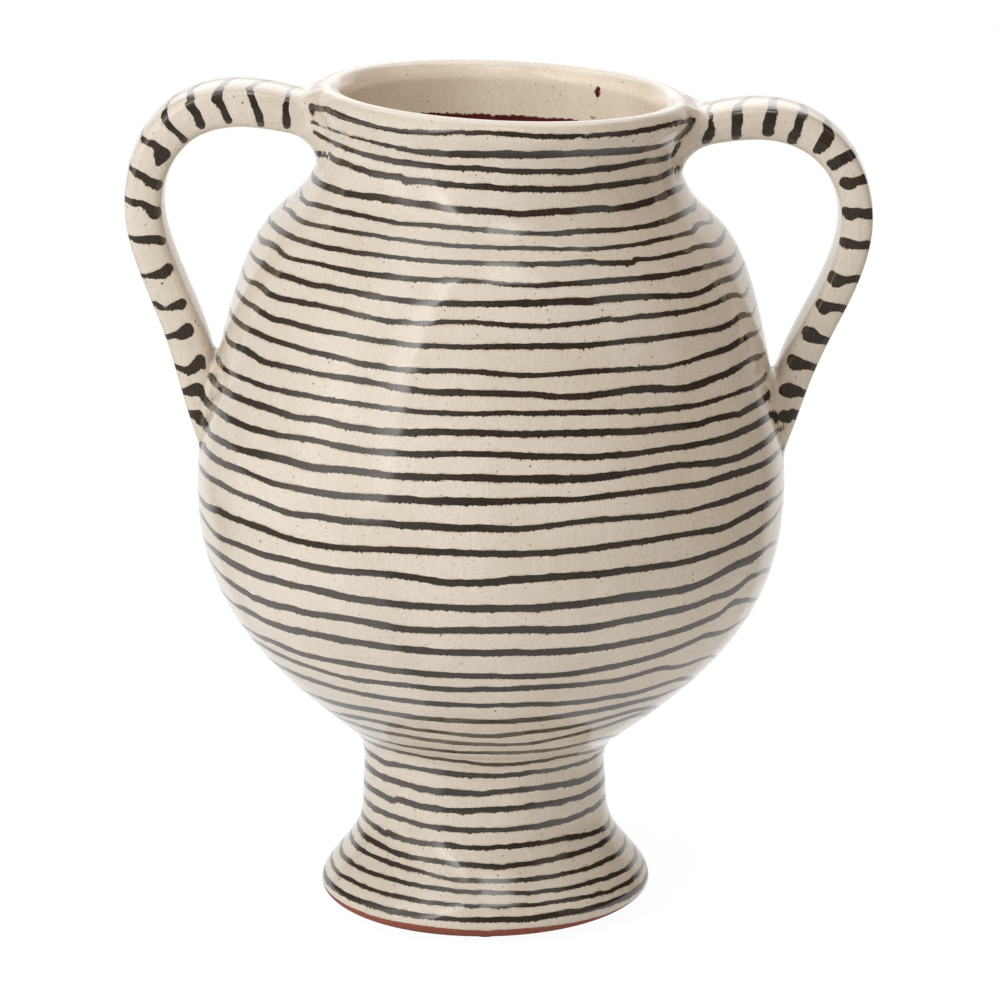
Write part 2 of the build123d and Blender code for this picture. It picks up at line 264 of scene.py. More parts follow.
RIGHT_DABS = (
    ((720, 100, 1.4), (712, 104, 2.0), (707, 111, 2.2), (711, 115.5, 2.2), (711, 122, 2.2), (712, 129, 3.4),
     (709.5, 134.5, 5.4), (706.5, 140, 4.6)),
    ((749, 96, 1.8), (743, 100, 2.8), (737, 105.5, 3.2), (737, 111, 4.8), (737.5, 119, 5.6),
     (737, 127, 5.0), (736.5, 136, 5.2)),
    ((778, 97.5, 2.2), (773, 100, 3.6), (772, 106, 3.6), (771, 115, 5.2), (769, 123, 6.2), (768, 131, 6.0)),
    ((803, 103, 2.6), (805, 108, 3.2), (803, 113, 4.4), (800, 121, 4.2), (797, 130, 4.4), (793.5, 137, 6.0),
     (792, 140, 5.4)),
    ((822, 115, 1.8), (828, 120, 2.6), (828, 126, 4.2), (828.5, 134, 5.8), (825, 142, 7.0), (819, 149, 5.8),
     (816, 150.5, 4.0)),
    ((853, 153, 4.2), (846, 157, 5.0), (838, 162, 6.0), (834, 165, 5.0), (831, 163.5, 4.0)),
    ((865, 179, 4.4), (856, 182, 4.4), (849, 184.5, 6.6), (844.5, 182.5, 6.4)),
    ((869, 214, 5.4), (862, 213.5, 4.8), (856, 213, 5.2), (850.5, 214, 7.2), (846, 211.5, 6.0)),
    ((867, 245, 4.0), (858, 246, 4.4), (851, 244.5, 5.2), (844, 242.5, 5.8), (841, 241, 4.4)),
    ((856, 279, 3.8), (846, 279.5, 4.0), (836.5, 280.5, 7.2), (831, 277, 6.0)),
    ((842, 308, 4.0), (832, 307.5, 4.6), (824, 307, 6.8), (819, 304, 5.0)),
    ((826, 340, 4.2), (818, 338.5, 5.2), (810.5, 335.5, 8.0), (806, 331.5, 5.2)),
    ((811, 367, 4.2), (803, 365, 5.2), (796, 363, 7.4), (791.5, 360.5, 6.0)),
    ((802, 393, 4.2), (795, 391.5, 6.0), (788.5, 390.5, 7.8), (785, 390, 6.6)),
    ((793, 414.5, 5.2), (787, 416, 6.4), (784, 416, 6.0)),
)
# How far round the hidden side of a strap its dabs go on along it, in mm
LEFT_DAB_SLANT, RIGHT_DAB_SLANT = -2.5, 2.5

# Small strokes where the lines meet the handles, read the same way: half thickness, then points
TOUCHES = (
    (2.4, (311.5, 105), (312.5, 113)),
    (2.2, (768, 392), (769.5, 402)),
    (2.2, (774, 412), (776, 422)),
    (1.4, (295, 197), (302, 190)),
)

# Finish edges
# Height of the glaze's edge on the foot, by degrees round from the front, right positive
GLAZE_EDGE = (
    (-180, 8.2), (-110, 9.4), (-71, 8.5), (-52, 8.2), (-41, 7.9), (-20, 7.9), (-2, 7.3), (1.6, 7.0),
    (3, 7.5), (17, 7.3), (29, 6.9), (43, 6.5), (75, 6.7), (130, 7.6), (180, 8.2),
)
# The pale slip stops inside the neck, above bare red ware under clear glaze
SLIP_EDGE_HEIGHT = 271.1

# The splash of red-brown inside the neck: how far round in radians, its height, the inside's radius
# there, and half its size
SPLASH_ANGLE, SPLASH_HEIGHT, SPLASH_RADIUS, SPLASH_HALF = 2.50, 281.6, 54.0, 1.9
# What each point of a clay piece carries for the glaze: distances in mm from the edges of the brushed
# lines, of the slip and of the bare clay, the share across a line, and how much glaze pooled there
FIELDS = ("ink_edge", "ink_across", "slip_edge", "clay_edge", "pool")
# Distances that stand for nowhere near an edge, and nowhere near a handle
FAR, FAR_OFF = 9.0, 99.0

# How near a handle's root the lines begin to follow the picture, and how near they do so fully, in mm
ROOT_REACH, ROOT_OWN = 14.0, 8.0
# How far across and up from a root its gap is worked out, in mm
ROOT_ACROSS, ROOT_UP = 40, 25
# How far to the front or back under a tail the lines run on round the jar, and from where they follow
# the picture again, in mm
UNDER_TAIL = (9.0, 13.5)
# How far along a strap those lines may run, in mm
ROOT_RUN = 24.0
# A height between the handles' upper roots and their tails
MIDWAY = 220.0

# Mesh fineness
ROUND_STEPS = 300
# The angles at which the brushed lines are worked out
ALL_ROUND = np.linspace(-math.pi, math.pi, 1440)
ROW_STEP = 1.05
INSIDE_STEP = 5.6
STRAP_STEP = 0.7
STRAP_AROUND = 112


def smooth(low, high, value):
    """0 below low, 1 above high, and a gentle rise between."""
    share = np.clip((value - low) / (high - low), 0, 1)
    return share * share * (3 - 2 * share)


def between(start, end, share_x, share_y):
    """A point part of the way from start to end, by its own share in each direction."""
    return (start[0] + share_x * (end[0] - start[0]), start[1] + share_y * (end[1] - start[1]))


def flowing(points, first_heading, last_heading, step):
    """A smooth line through points, in even steps; a heading of None leaves that end free."""
    points = np.array(points, float)
    span = np.linalg.norm(np.diff(points, axis=0), axis=1)
    count = len(points)
    rule = np.eye(count)
    target = np.zeros_like(points)
    ends = ((0, 1, first_heading, span[0]), (count - 1, count - 2, last_heading, span[-1]))
    for end, beside, heading, length in ends:
        if heading is None:
            rule[end, end], rule[end, beside] = 2, 1
            chord = points[max(end, beside)] - points[min(end, beside)]
            target[end] = 3 * chord / length
        else:
            target[end] = heading
    for i in range(1, count - 1):
        before, after = span[i - 1], span[i]
        rule[i, i - 1 : i + 2] = (after, 2 * (before + after), before)
        rise, fall = points[i + 1] - points[i], points[i] - points[i - 1]
        target[i] = 3 * (before / after * rise + after / before * fall)
    slope = np.linalg.solve(rule, target)
    pieces = []
    t = np.linspace(0, 1, 60, endpoint=False)[:, None]
    for i, length in enumerate(span):
        start = (1 + 2 * t) * (1 - t) ** 2 * points[i] + t * (1 - t) ** 2 * length * slope[i]
        end = t * t * (3 - 2 * t) * points[i + 1] + t * t * (t - 1) * length * slope[i + 1]
        pieces.append(start + end)
    return even(np.vstack(pieces + [points[-1:]]), step)


def along(line):
    """Distance of each point from a line's start."""
    return np.concatenate([[0], np.cumsum(np.linalg.norm(np.diff(line, axis=0), axis=1))])


def even(line, step):
    """The same line with its points evenly spaced."""
    place = along(line)
    count = max(2, int(round(place[-1] / step)) + 1)
    places = np.linspace(0, place[-1], count)
    return np.column_stack([np.interp(places, place, line[:, c]) for c in range(line.shape[1])])


def wander(value, seed, waves, longest):
    """A smooth line of hand shake about zero, the same on each run, repeating every 2 pi of value."""
    random = np.random.default_rng(seed)
    total = np.zeros_like(np.asarray(value, float))
    for wave in range(longest, longest + waves):
        size = random.normal() / math.sqrt(wave / longest)
        total += size * np.sin(wave * value + random.uniform(0, 2 * math.pi))
    return total / math.sqrt(waves)


def bead(degrees):
    """A point on the lip's round bead, as (radius, height)."""
    angle = math.radians(degrees)
    return (LIP_RADIUS + LIP_HALF * math.cos(angle), LIP_HEIGHT + LIP_HALF * math.sin(angle))


def bead_heading(degrees):
    """Which way the bead runs there."""
    angle = math.radians(degrees)
    return (-math.sin(angle), math.cos(angle))


def outer_line(step):
    """The body's outside, from the axis under the bowl to the lip's bead, as (radius, height)."""
    waist, belly = (WAIST_RADIUS, WAIST_HEIGHT), (BELLY_RADIUS, BELLY_HEIGHT)
    neck = (NECK_RADIUS, NECK_HEIGHT)
    points = [(0, BOWL_BASE), waist]
    points += [between(waist, belly, out, up) for out, up in BOWL_SHARES] + [belly]
    points += [between(belly, neck, way_in, up) for way_in, up in SHOULDER_SHARES]
    points += [neck, bead(BEAD_FROM)]
    return flowing(points, (1, 0), bead_heading(BEAD_FROM), step)


def inner_line(outside, step):
    """The inside, from the bead down to the middle of the floor, one wall in from the outside."""
    points = [bead(BEAD_TO)]
    for share in reversed(INNER_SHARES):
        i = int(round(share * (len(outside) - 1)))
        heading = outside[i + 1] - outside[i - 1]
        heading /= np.linalg.norm(heading)
        points.append((outside[i][0] - WALL * heading[1], outside[i][1] + WALL * heading[0]))
    points.append((0, BOWL_BASE + FLOOR))
    return flowing(points, bead_heading(BEAD_TO), (-1, 0), step)


OUTSIDE = np.vstack([outer_line(0.25), [bead(degrees) for degrees in range(-28, 91, 2)]])
OUTSIDE_ABOVE = OUTSIDE[OUTSIDE[:, 1] >= WAIST_HEIGHT]


def wall_radius(height):
    """The body's outer radius at a height, before it leans."""
    return np.interp(height, OUTSIDE_ABOVE[:, 1], OUTSIDE_ABOVE[:, 0])


def foot_lines(over_step, neck_step):
    """The foot's outside from the middle of its roll up the stem, and the glaze fillet under the bowl."""
    roll, stem = (ROLL_RADIUS, ROLL_HEIGHT), (STEM_RADIUS, STEM_HEIGHT)
    over = [roll, *(between(stem, roll, out, down) for out, down in ROLL_SHARES), stem]
    neck = [stem, *((WAIST_RADIUS + out, WAIST_HEIGHT + up) for out, up in FILLET_POINTS)]
    return flowing(over, (0, 1), (0, 1), over_step), flowing(neck, (0, 1), None, neck_step)


def foot_tuck(height):
    """How far the foot's top falls per mm to the right, to follow the bowl, which leans."""
    return smooth(STEM_HEIGHT, WAIST_HEIGHT, height) * math.sin(LEAN)


FOOT_OUTSIDE = np.vstack(foot_lines(0.4, 0.4))[::-1]


def fingers(height, angle):
    """How far the thrower's fingers and the slip left the wall in or out, in mm."""
    spiral = 2 * math.pi * height / 7.4 + angle
    rings = 0.030 * np.sin(spiral + 0.8 * np.sin(2 * math.pi * height / 41.0))
    slow = 0.10 * np.sin(2 * math.pi * height / 63.0 + 2 * angle) + 0.12 * np.sin(2 * angle + 0.9)
    return rings + slow


def wall_push(height, angle):
    """How far the body's wall stands out from its drawn outline there."""
    return fingers(height, angle) * smooth(WAIST_HEIGHT, WAIST_HEIGHT + 12, height)


def settled(points, handle=False):
    """Tilt the mouth and lean the body, as the fired jar stands. Points are (x, y, z) in the last axis."""
    x, y, z = points[..., 0].copy(), points[..., 1].copy(), points[..., 2].copy()
    share = smooth(RIM_TILT_FROM, RIM_TILT_TO, z)
    if handle:
        share = share * (1 - 0.75 * smooth(66.0, 112.0, x))
    tilt = RIM_TILT * share
    height = z - NECK_HEIGHT
    x, z = x * np.cos(tilt) + height * np.sin(tilt), NECK_HEIGHT - x * np.sin(tilt) + height * np.cos(tilt)
    height = z - WAIST_HEIGHT
    leaned = np.empty_like(points)
    leaned[..., 0] = x * math.cos(LEAN) + height * math.sin(LEAN)
    leaned[..., 1] = y
    leaned[..., 2] = WAIST_HEIGHT - x * math.sin(LEAN) + height * math.cos(LEAN)
    return leaned


def on_screen(points):
    """Where the photographer's camera sees points in mm, in the photo's pixels."""
    away = points - np.array(CAMERA_PLACE)
    pitch, roll = math.radians(CAMERA_PITCH), math.radians(CAMERA_ROLL)
    ahead = away[..., 1] * math.cos(pitch) - away[..., 2] * math.sin(pitch)
    up = away[..., 1] * math.sin(pitch) + away[..., 2] * math.cos(pitch)
    across, down = CAMERA_PULL * away[..., 0] / ahead, -CAMERA_PULL * up / ahead
    turned_across = across * math.cos(roll) - down * math.sin(roll)
    turned_down = across * math.sin(roll) + down * math.cos(roll)
    return np.stack([PHOTO_WIDTH / 2 + turned_across, PHOTO_WIDTH / 2 + turned_down], -1)


def on_body(angle, height):
    """A place on the body's outside; angle is 0 at the front and rises to the right."""
    radius = wall_radius(height)
    return settled(np.stack([radius * np.sin(angle), -radius * np.cos(angle), height], -1))


def on_foot(angle, height):
    """A place on the foot's outside."""
    radius = np.interp(height, FOOT_OUTSIDE[:, 1][::-1], FOOT_OUTSIDE[:, 0][::-1])
    x = radius * np.sin(angle)
    return np.stack([x, -radius * np.cos(angle), height - foot_tuck(height) * x], -1)


def found(pixels, surface, span):
    """Angle and height of the places on a surface that the photo shows at given pixels."""
    angle, height = np.meshgrid(np.radians(np.arange(-88.0, 88.1, 1.0)), np.arange(*span, 0.5))
    shown = on_screen(surface(angle, height))
    turn_step, rise_step = 0.002, 0.05
    longest = np.array([0.02, 0.4])
    places = []
    for pixel in np.array(pixels, float):
        nearest = np.argmin(np.linalg.norm(shown - pixel, axis=-1))
        place = np.array([angle.flat[nearest], height.flat[nearest]])
        for _ in range(4):
            here = on_screen(surface(*place))
            by_angle = (on_screen(surface(place[0] + turn_step, place[1])) - here) / turn_step
            by_height = (on_screen(surface(place[0], place[1] + rise_step)) - here) / rise_step
            step = np.linalg.lstsq(np.column_stack([by_angle, by_height]), pixel - here, rcond=None)[0]
            place = place + np.clip(step, -longest, longest)
        places.append((np.clip(place[0], -1.54, 1.54), place[1]))
    return np.array(places)


def half_widths(thickness, marks):
    """Half the thickness that a line is drawn with at each of its marks, in pixels."""
    return [(1 + BRUSH_SPREAD) * (mark[2] if len(mark) > 2 else thickness) / 2 for mark in marks]


def line_path(number):
    """Height and half thickness in mm of one brushed line, at angles round the jar."""
    thickness, *marks = LINES[number]
    surface, span = (on_body, BODY_SPAN) if number in BODY_LINES else (on_foot, FOOT_SPAN)
    for lines, wall in ((TOP_LINES, TOP_WALL), (TAIL_LINES, TAIL_WALL)):
        if number in lines:
            marks = [mark for mark in marks if wall[0] <= mark[0] <= wall[1]]
    places = found([mark[:2] for mark in marks], surface, span)
    order = np.argsort(places[:, 0])
    places = places[order]
    sure = places[np.abs(places[:, 0]) < SURE_UNTIL]
    back = (sure[0, 1] + sure[-1, 1]) / 2
    start = [(-math.pi, back), (-PLAIN_FROM, sure[0, 1])]
    finish = [(PLAIN_FROM, sure[-1, 1]), (math.pi, back)]
    # angles are stretched to about the jar's size, so that the line flows as it does on the jar
    stretch = 60
    line = flowing(np.vstack([start, places, finish]) * (stretch, 1), None, None, 0.5)
    height = np.interp(ALL_ROUND, line[:, 0] / stretch, line[:, 1])
    upright = surface(np.zeros(2), np.interp(0.0, ALL_ROUND, height) + np.array([-0.5, 0.5]))
    shown = on_screen(upright)
    scale = abs(shown[1, 1] - shown[0, 1]) / np.linalg.norm(upright[1] - upright[0])
    plain = (1 + BRUSH_SPREAD) * thickness / 2
    halves = np.array(half_widths(thickness, marks))[order]
    around = [-PLAIN_FROM, *places[:, 0], PLAIN_FROM]
    return height, np.interp(ALL_ROUND, around, [plain, *halves, plain]) / scale


def levelled(paths, least_gap):
    """The same lines, from the top down, running on round the back evenly and without crossing."""
    sides = []
    for angle in (-READ_UNTIL, READ_UNTIL):
        heights = np.array([np.interp(angle, ALL_ROUND, height) for height, _ in paths])
        for i in range(1, len(heights)):
            heights[i] = min(heights[i], heights[i - 1] - least_gap)
        for _ in range(2):
            heights[1:-1] = (heights[:-2] + 2 * heights[1:-1] + heights[2:]) / 4
        sides.append(heights)
    share = smooth(READ_UNTIL, LEVEL_FROM, np.abs(ALL_ROUND))
    round_back = smooth(LEVEL_FROM, math.pi, np.abs(ALL_ROUND))
    made = []
    for (height, half), left_height, right_height in zip(paths, *sides):
        side = np.where(ALL_ROUND < 0, left_height, right_height)
        level = side + round_back * ((left_height + right_height) / 2 - side)
        made.append((height + share * (level - height), half))
    return made


def nearer_of(edge, across, other_edge, other_across):
    """At each place, the nearer of two edges, with the share across its own line."""
    nearer = other_edge < edge
    return np.where(nearer, other_edge, edge), np.where(nearer, other_across, across)


def from_run(x, y, start, end):
    """For places, the share of the way along a straight run, and how far off it they are in x and y."""
    way_x, way_y = end[0] - start[0], end[1] - start[1]
    length_squared = max(way_x**2 + way_y**2, 1e-9)
    share = np.clip(((x - start[0]) * way_x + (y - start[1]) * way_y) / length_squared, 0, 1)
    return share, x - start[0] - share * way_x, y - start[1] - share * way_y


def line_fields(place, angle, numbers, line, line_place):
    """Distance to the nearest line's edge, and the share across the line, for places along an outline."""
    place, angle = np.broadcast_arrays(place, angle)
    edge, across = np.full(place.shape, FAR), np.zeros(place.shape)
    turn = ALL_ROUND
    for number in numbers:
        height, half = LINE_PATHS[number]
        # the hand shakes slowly and quickly, by fractions of a mm
        shake = 0.13 * wander(turn, 100 + number, 14, 8) + 0.08 * wander(turn, 300 + number, 30, 24)
        random = np.random.default_rng(500 + number)
        for _ in range(4):
            # a fresh load of the brush starts a little above or below the last
            restart, step = random.uniform(-math.pi, math.pi), random.normal() * 0.22
            away = np.angle(np.exp(1j * (turn - restart)))
            kept = np.exp(-np.abs(away) / 0.10) * np.minimum(1, np.abs(away) / 0.012)
            shake = shake + step * np.sign(away) * kept
        drop = DROP_SHARE * half + (DROP_NEAR_MOUTH if number in NEAR_MOUTH else DROP_BELOW)
        centre = np.interp(height + shake, line[:, 1], line_place) - drop
        # where a line climbs, its thickness lies across the climb
        climb = np.gradient(centre, turn) / np.interp(height, line[:, 1], line[:, 0])
        level = 1 / np.sqrt(1 + np.minimum(np.abs(climb), 2.5) ** 2)
        uneven = 0.14 * wander(turn, 700 + number, 10, 3) + 0.07 * wander(turn, 900 + number, 24, 18)
        away = (place - np.interp(angle, turn, centre)) * np.interp(angle, turn, level)
        half = np.interp(angle, turn, half * (1 + uneven))
        edge, across = nearer_of(edge, across, np.abs(away) - half, np.clip(away / half, -1.5, 1.5))
    return edge, across


def stroke_distance(x, y, points, half):
    """Distance in mm from the edge of a round-ended stroke through points."""
    runs = [from_run(x, y, start, end) for start, end in zip(points, points[1:])]
    return np.min([np.hypot(off_x, off_y) for _, off_x, off_y in runs], axis=0) - half


def lines_at(angle, height, numbers):
    """The painted lines on the body's outside: distance to the nearest edge, and share across the line."""
    angle = np.angle(np.exp(1j * angle))
    height = np.minimum(height, WALL_TOP)
    line_place = along(OUTSIDE_ABOVE)
    place = np.interp(height, OUTSIDE_ABOVE[:, 1], line_place)
    edge, across = line_fields(place, angle, numbers, OUTSIDE_ABOVE, line_place)
    for half, places in TOUCH_PLACES:
        radius = wall_radius(places[0][1])
        distance = stroke_distance(angle * radius, height, places * (radius, 1), half)
        edge, across = nearer_of(edge, across, distance, 0.0)
    return edge, across


def brushed(x, y, strokes):
    """Distance to the nearest stroke's edge, and the share across it with the lower side negative.
    A stroke is a row of (x, y, half thickness), and y grows downwards."""
    edge, across = np.full(np.broadcast(x, y).shape, FAR), np.zeros(np.broadcast(x, y).shape)
    for stroke in strokes:
        for start, end in zip(stroke, stroke[1:]):
            share, off_x, off_y = from_run(x, y, start, end)
            half = start[2] + (end[2] - start[2]) * share
            distance = np.hypot(off_x, off_y) - half
            edge, across = nearer_of(edge, across, distance, np.clip(-off_y / half, -1.5, 1.5))
    return edge, across


def picture_strokes(numbers):
    """Body lines and small strokes as they stand in the photo, in mm of the picture."""
    strokes = []
    for thickness, *marks in (LINES[number] for number in numbers):
        halves = half_widths(thickness, marks)
        drops = [DROP_SHARE * half + PICTURE_DROP for half in halves]
        strokes.append([(mark[0], mark[1] + drop, half) for mark, drop, half in zip(marks, drops, halves)])
    strokes += [[(x, y, half) for x, y in marks] for half, *marks in TOUCHES]
    return [np.array(stroke) / PICTURE_SCALE for stroke in strokes]


def angles():
    """Angles round the jar, 0 at the front and positive to the right, starting at the back."""
    return np.linspace(-math.pi, math.pi, ROUND_STEPS, endpoint=False)


def turned(line, angle, push):
    """Points of an outline turned round the axis, and pushed out from it."""
    radius = line[:, 0][:, None] + push
    height = np.repeat(line[:, 1][:, None], len(angle), axis=1)
    return np.stack([radius * np.sin(angle), -radius * np.cos(angle), height], axis=-1)


def place_object(name, data):
    """A new object of the scene."""
    made = bpy.data.objects.new(name, data)
    SCENE.collection.objects.link(made)
    return made


def piece(name, grid, fields, first_tip=None, last_tip=None, closed_rows=False):
    """A mesh from rows of points that close round, with its per-point fields, in metres."""
    rows, columns = grid.shape[:2]
    points = [tuple(p) for p in (grid.reshape(-1, 3) * MM)]
    faces = []
    for i in range(rows if closed_rows else rows - 1):
        a, b = i * columns, ((i + 1) % rows) * columns
        for j in range(columns):
            k = (j + 1) % columns
            faces.append((a + j, a + k, b + k, b + j))
    tips = []
    for tip, row in ((first_tip, 0), (last_tip, rows - 1)):
        if tip is not None:
            tips.append(row)
            points.append(tuple(np.array(tip) * MM))
            for j in range(columns):
                k = (j + 1) % columns
                faces.append((row * columns + k, row * columns + j, len(points) - 1))
    mesh = bpy.data.meshes.new(name)
    mesh.from_pydata(points, [], faces)
    build = bmesh.new()
    build.from_mesh(mesh)
    bmesh.ops.recalc_face_normals(build, faces=build.faces)
    build.to_mesh(mesh)
    build.free()
    for field, values in zip(FIELDS, fields):
        values = np.asarray(values, np.float32)
        flat = np.concatenate([values.reshape(-1)] + [values[row].mean(keepdims=True) for row in tips])
        mesh.attributes.new(field, "FLOAT", "POINT").data.foreach_set("value", flat.astype(np.float32))
    mesh.shade_smooth()
    return place_object(name, mesh)


def root_gap(angle, height):
    """How far a place on the body is from a handle's root, in mm; negative under the handle."""
    gap = np.full(np.broadcast(angle, height).shape, FAR_OFF)
    for side in (RIGHT, LEFT):
        strap_point, ring, start, finish = STRAPS[side]
        for s_wall in (start, finish):
            turn, up = on_wall(strap_point(s_wall, np.arange(len(ring))))
            radius = wall_radius(up.mean())
            x = np.angle(np.exp(1j * (angle - side * math.pi / 2))) * radius
            near = (np.abs(x) < ROOT_ACROSS) & (height > up.min() - ROOT_UP) & (height < up.max() + ROOT_UP)
            if not near.any():
                continue
            outline = np.column_stack([side * turn * radius, up])
            x, y = x[near], np.broadcast_to(height, near.shape)[near]
            best = np.full(x.shape, FAR_OFF)
            inside = np.zeros(x.shape, bool)
            for (x0, y0), (x1, y1) in zip(np.roll(outline, 1, 0), outline):
                _, off_x, off_y = from_run(x, y, (x0, y0), (x1, y1))
                best = np.minimum(best, np.hypot(off_x, off_y))
                crosses = (y0 > y) != (y1 > y)
                inside ^= crosses & (x < x0 + (y - y0) * (x1 - x0) / ((y1 - y0) or 1e-9))
            gap[near] = np.minimum(gap[near], np.where(inside, -best, best))
    return gap


def in_picture(points):
    """Where the camera sees places, or those facing them on the front, in mm of the picture."""
    in_front = np.stack([points[..., 0], -np.abs(points[..., 1]), points[..., 2]], -1)
    return on_screen(in_front) / PICTURE_SCALE


def make_body():
    """The thrown body: outside, rolled lip and inside in one skin."""
    outer = outer_line(ROW_STEP)
    # only the hidden bottom, which stands in the foot, gets by with fewer rows
    outer = np.vstack([outer[:36:6], outer[36:]])
    bead_steps = int((BEAD_TO - BEAD_FROM) / 12)
    rim = [bead(BEAD_FROM + (BEAD_TO - BEAD_FROM) * i / bead_steps) for i in range(1, bead_steps)]
    inner = inner_line(outer_line(0.25), INSIDE_STEP)
    line = np.vstack([outer[1:], rim, inner[:-1]])
    angle = angles()
    heights = line[:, 1][:, None]
    grid = settled(turned(line, angle, wall_push(heights, angle[None, :])))
    row = np.arange(len(line))[:, None]
    # the outside takes in the first rows of the lip's bead
    on_outside = (row < len(outer) + 5) & (heights > WAIST_HEIGHT - 2)

    all_heights, all_angles = np.broadcast_arrays(heights, angle[None, :])
    edge, across = lines_at(all_angles, all_heights, BODY_LINES)
    others = [number for number in BODY_LINES if number not in (*TOP_LINES, *TAIL_LINES)]
    other_edge, other_across = lines_at(all_angles, all_heights, others)
    gap = root_gap(all_angles, all_heights)
    # close to a handle the lines bend as they do in the picture, and go on over the luted clay
    shown = in_picture(grid)
    for high, numbers in ((True, TOP_LINES), (False, TAIL_LINES)):
        here = (gap < ROOT_REACH) & ((all_heights > MIDWAY) == high)
        strokes = brushed(shown[here][:, 0], shown[here][:, 1], picture_strokes(numbers))
        wall_edge, wall_across = nearer_of(other_edge[here], other_across[here], *strokes)
        share = smooth(ROOT_REACH, ROOT_OWN, gap[here])
        if not high:
            # right under a handle's tail the other lines run on round the jar
            share = share * smooth(*UNDER_TAIL, np.abs(grid[here][:, 1]))
        edge[here] += share * (wall_edge - edge[here])
        across[here] = np.where(share > 0.5, wall_across, across[here])
    edge = np.where(on_outside, edge, FAR)

    # the slip ends in a wandering edge inside the neck, and none is under the bowl, within the foot
    slip_end = SLIP_EDGE_HEIGHT + 0.9 * wander(angle, 43, 9, 2) + 0.35 * wander(angle, 44, 30, 12)
    slip = np.where(on_outside | (heights > LIP_HEIGHT), FAR, heights - slip_end[None, :])
    slip = np.where((row < 16) & (heights < WAIST_HEIGHT + 0.5), -3.0, slip)
    # the splash of red is a slanting oval with a lobed edge
    sideways = np.angle(np.exp(1j * (angle - SPLASH_ANGLE)))[None, :] * SPLASH_RADIUS
    upward = heights - SPLASH_HEIGHT
    lobes = 0.7 * np.sin(4 * np.arctan2(upward, sideways) + 1)
    splash = np.hypot(sideways + 0.5 * upward, 0.75 * upward) - SPLASH_HALF - lobes
    slip = np.where(on_outside, slip, np.minimum(slip, splash))
    pool = np.exp(-(np.clip(gap, 0, 30) + 3.0 * smooth(MIDWAY, 250, heights)) / 1.8) * on_outside

    first, last = settled(np.array([(0.0, 0.0, BOWL_BASE), (0.0, 0.0, BOWL_BASE + FLOOR)]))
    return piece("glazed_body", grid, (edge, across, slip, np.full_like(edge, FAR), pool), first, last)


def make_foot():
    """The thrown foot: bore, seat, rolled base, stem, and a soft glaze fillet under the bowl."""
    seat, roll = (SEAT_RADIUS, SEAT_HEIGHT), (ROLL_RADIUS, ROLL_HEIGHT)
    bore_top = (BORE_RADIUS, WAIST_HEIGHT - 2.5)
    bore_edge = [
        (BORE_RADIUS + BORE_EDGE * (1 - math.cos(a)), SEAT_HEIGHT + BORE_EDGE * (1 - math.sin(a)))
        for a in np.linspace(0, math.pi / 2, 5)
    ]
    under = flowing([seat, between(seat, roll, 0.74, 0.34), roll], (1, 0), (0, 1), 0.8)
    over, neck = foot_lines(0.9, 0.7)
    bore = even(np.array([bore_top, bore_edge[0]]), 3.0)
    base = even(np.array([bore_edge[-1], seat]), 2.0)
    top = even(np.array([neck[-1], bore_top]), 3.0)
    line = np.vstack([bore, bore_edge[1:-1], base, under[1:], over[1:], neck[1:], top[1:-1]])
    place = along(line)
    angle = angles()
    heights = line[:, 1][:, None]
    first_out, last_out = len(bore) + 3 + len(base), len(line) - len(top) + 1
    row = np.arange(len(line))[:, None]
    outside = (row >= first_out) & (row <= last_out)
    push = fingers(heights, angle[None, :]) * 0.8 * outside
    push = push * (1 - smooth(WAIST_HEIGHT - 6, WAIST_HEIGHT, heights))
    grid = turned(line, angle, push)
    grid[..., 2] -= foot_tuck(grid[..., 2]) * grid[..., 0]

    edge, across = np.full(grid.shape[:2], FAR), np.zeros(grid.shape[:2])
    lined = slice(first_out, last_out)
    shown, shown_place = line[lined], place[lined]
    fields = line_fields(shown_place[:, None], angle[None, :], FOOT_LINES, shown, shown_place)
    edge[lined], across[lined] = fields
    glaze_end = np.interp(np.degrees(angle), *zip(*GLAZE_EDGE)) + 0.10 * wander(angle, 51, 20, 8)
    limit = np.interp(glaze_end, shown[:, 1], shown_place)
    clay = np.where(outside, place[:, None] - limit[None, :], -FAR)
    fields = (edge, across, np.full_like(edge, FAR), clay, np.zeros_like(edge))
    return piece("glazed_foot", grid, fields, closed_rows=True)


def strap_outline(thickness):
    """Round a strap's section: place across and through as shares of the flats, and the corner's angle,
    with the distance round from the middle of the outer face, front negative."""
    radius = STRAP_EDGE * thickness
    flat_a, flat_b = STRAP_WIDTH / 2 - radius, thickness / 2 - radius
    quarter = math.pi / 2 * radius
    lengths = (flat_a, quarter, 2 * flat_b, quarter, flat_a)
    half = sum(lengths)
    table = []
    for distance in np.linspace(0, half, STRAP_AROUND // 2 + 1):
        left = distance
        for run, length in enumerate(lengths):
            if left <= length or run == 4:
                break
            left -= length
        share = left / length
        table.append(
            (
                (share, 1.0, math.pi / 2),
                (1.0, 1.0, math.pi / 2 * (1 - share)),
                (1.0, 1 - 2 * share, 0.0),
                (1.0, -1.0, -math.pi / 2 * share),
                (1 - share, -1.0, -math.pi / 2),
            )[run]
            + (distance,)
        )
    table = np.array(table)
    mirror = table[1:-1][::-1].copy()
    mirror[:, 0] *= -1
    mirror[:, 2] = math.pi - mirror[:, 2]
    mirror[:, 3] *= -1
    return np.vstack([table, mirror])


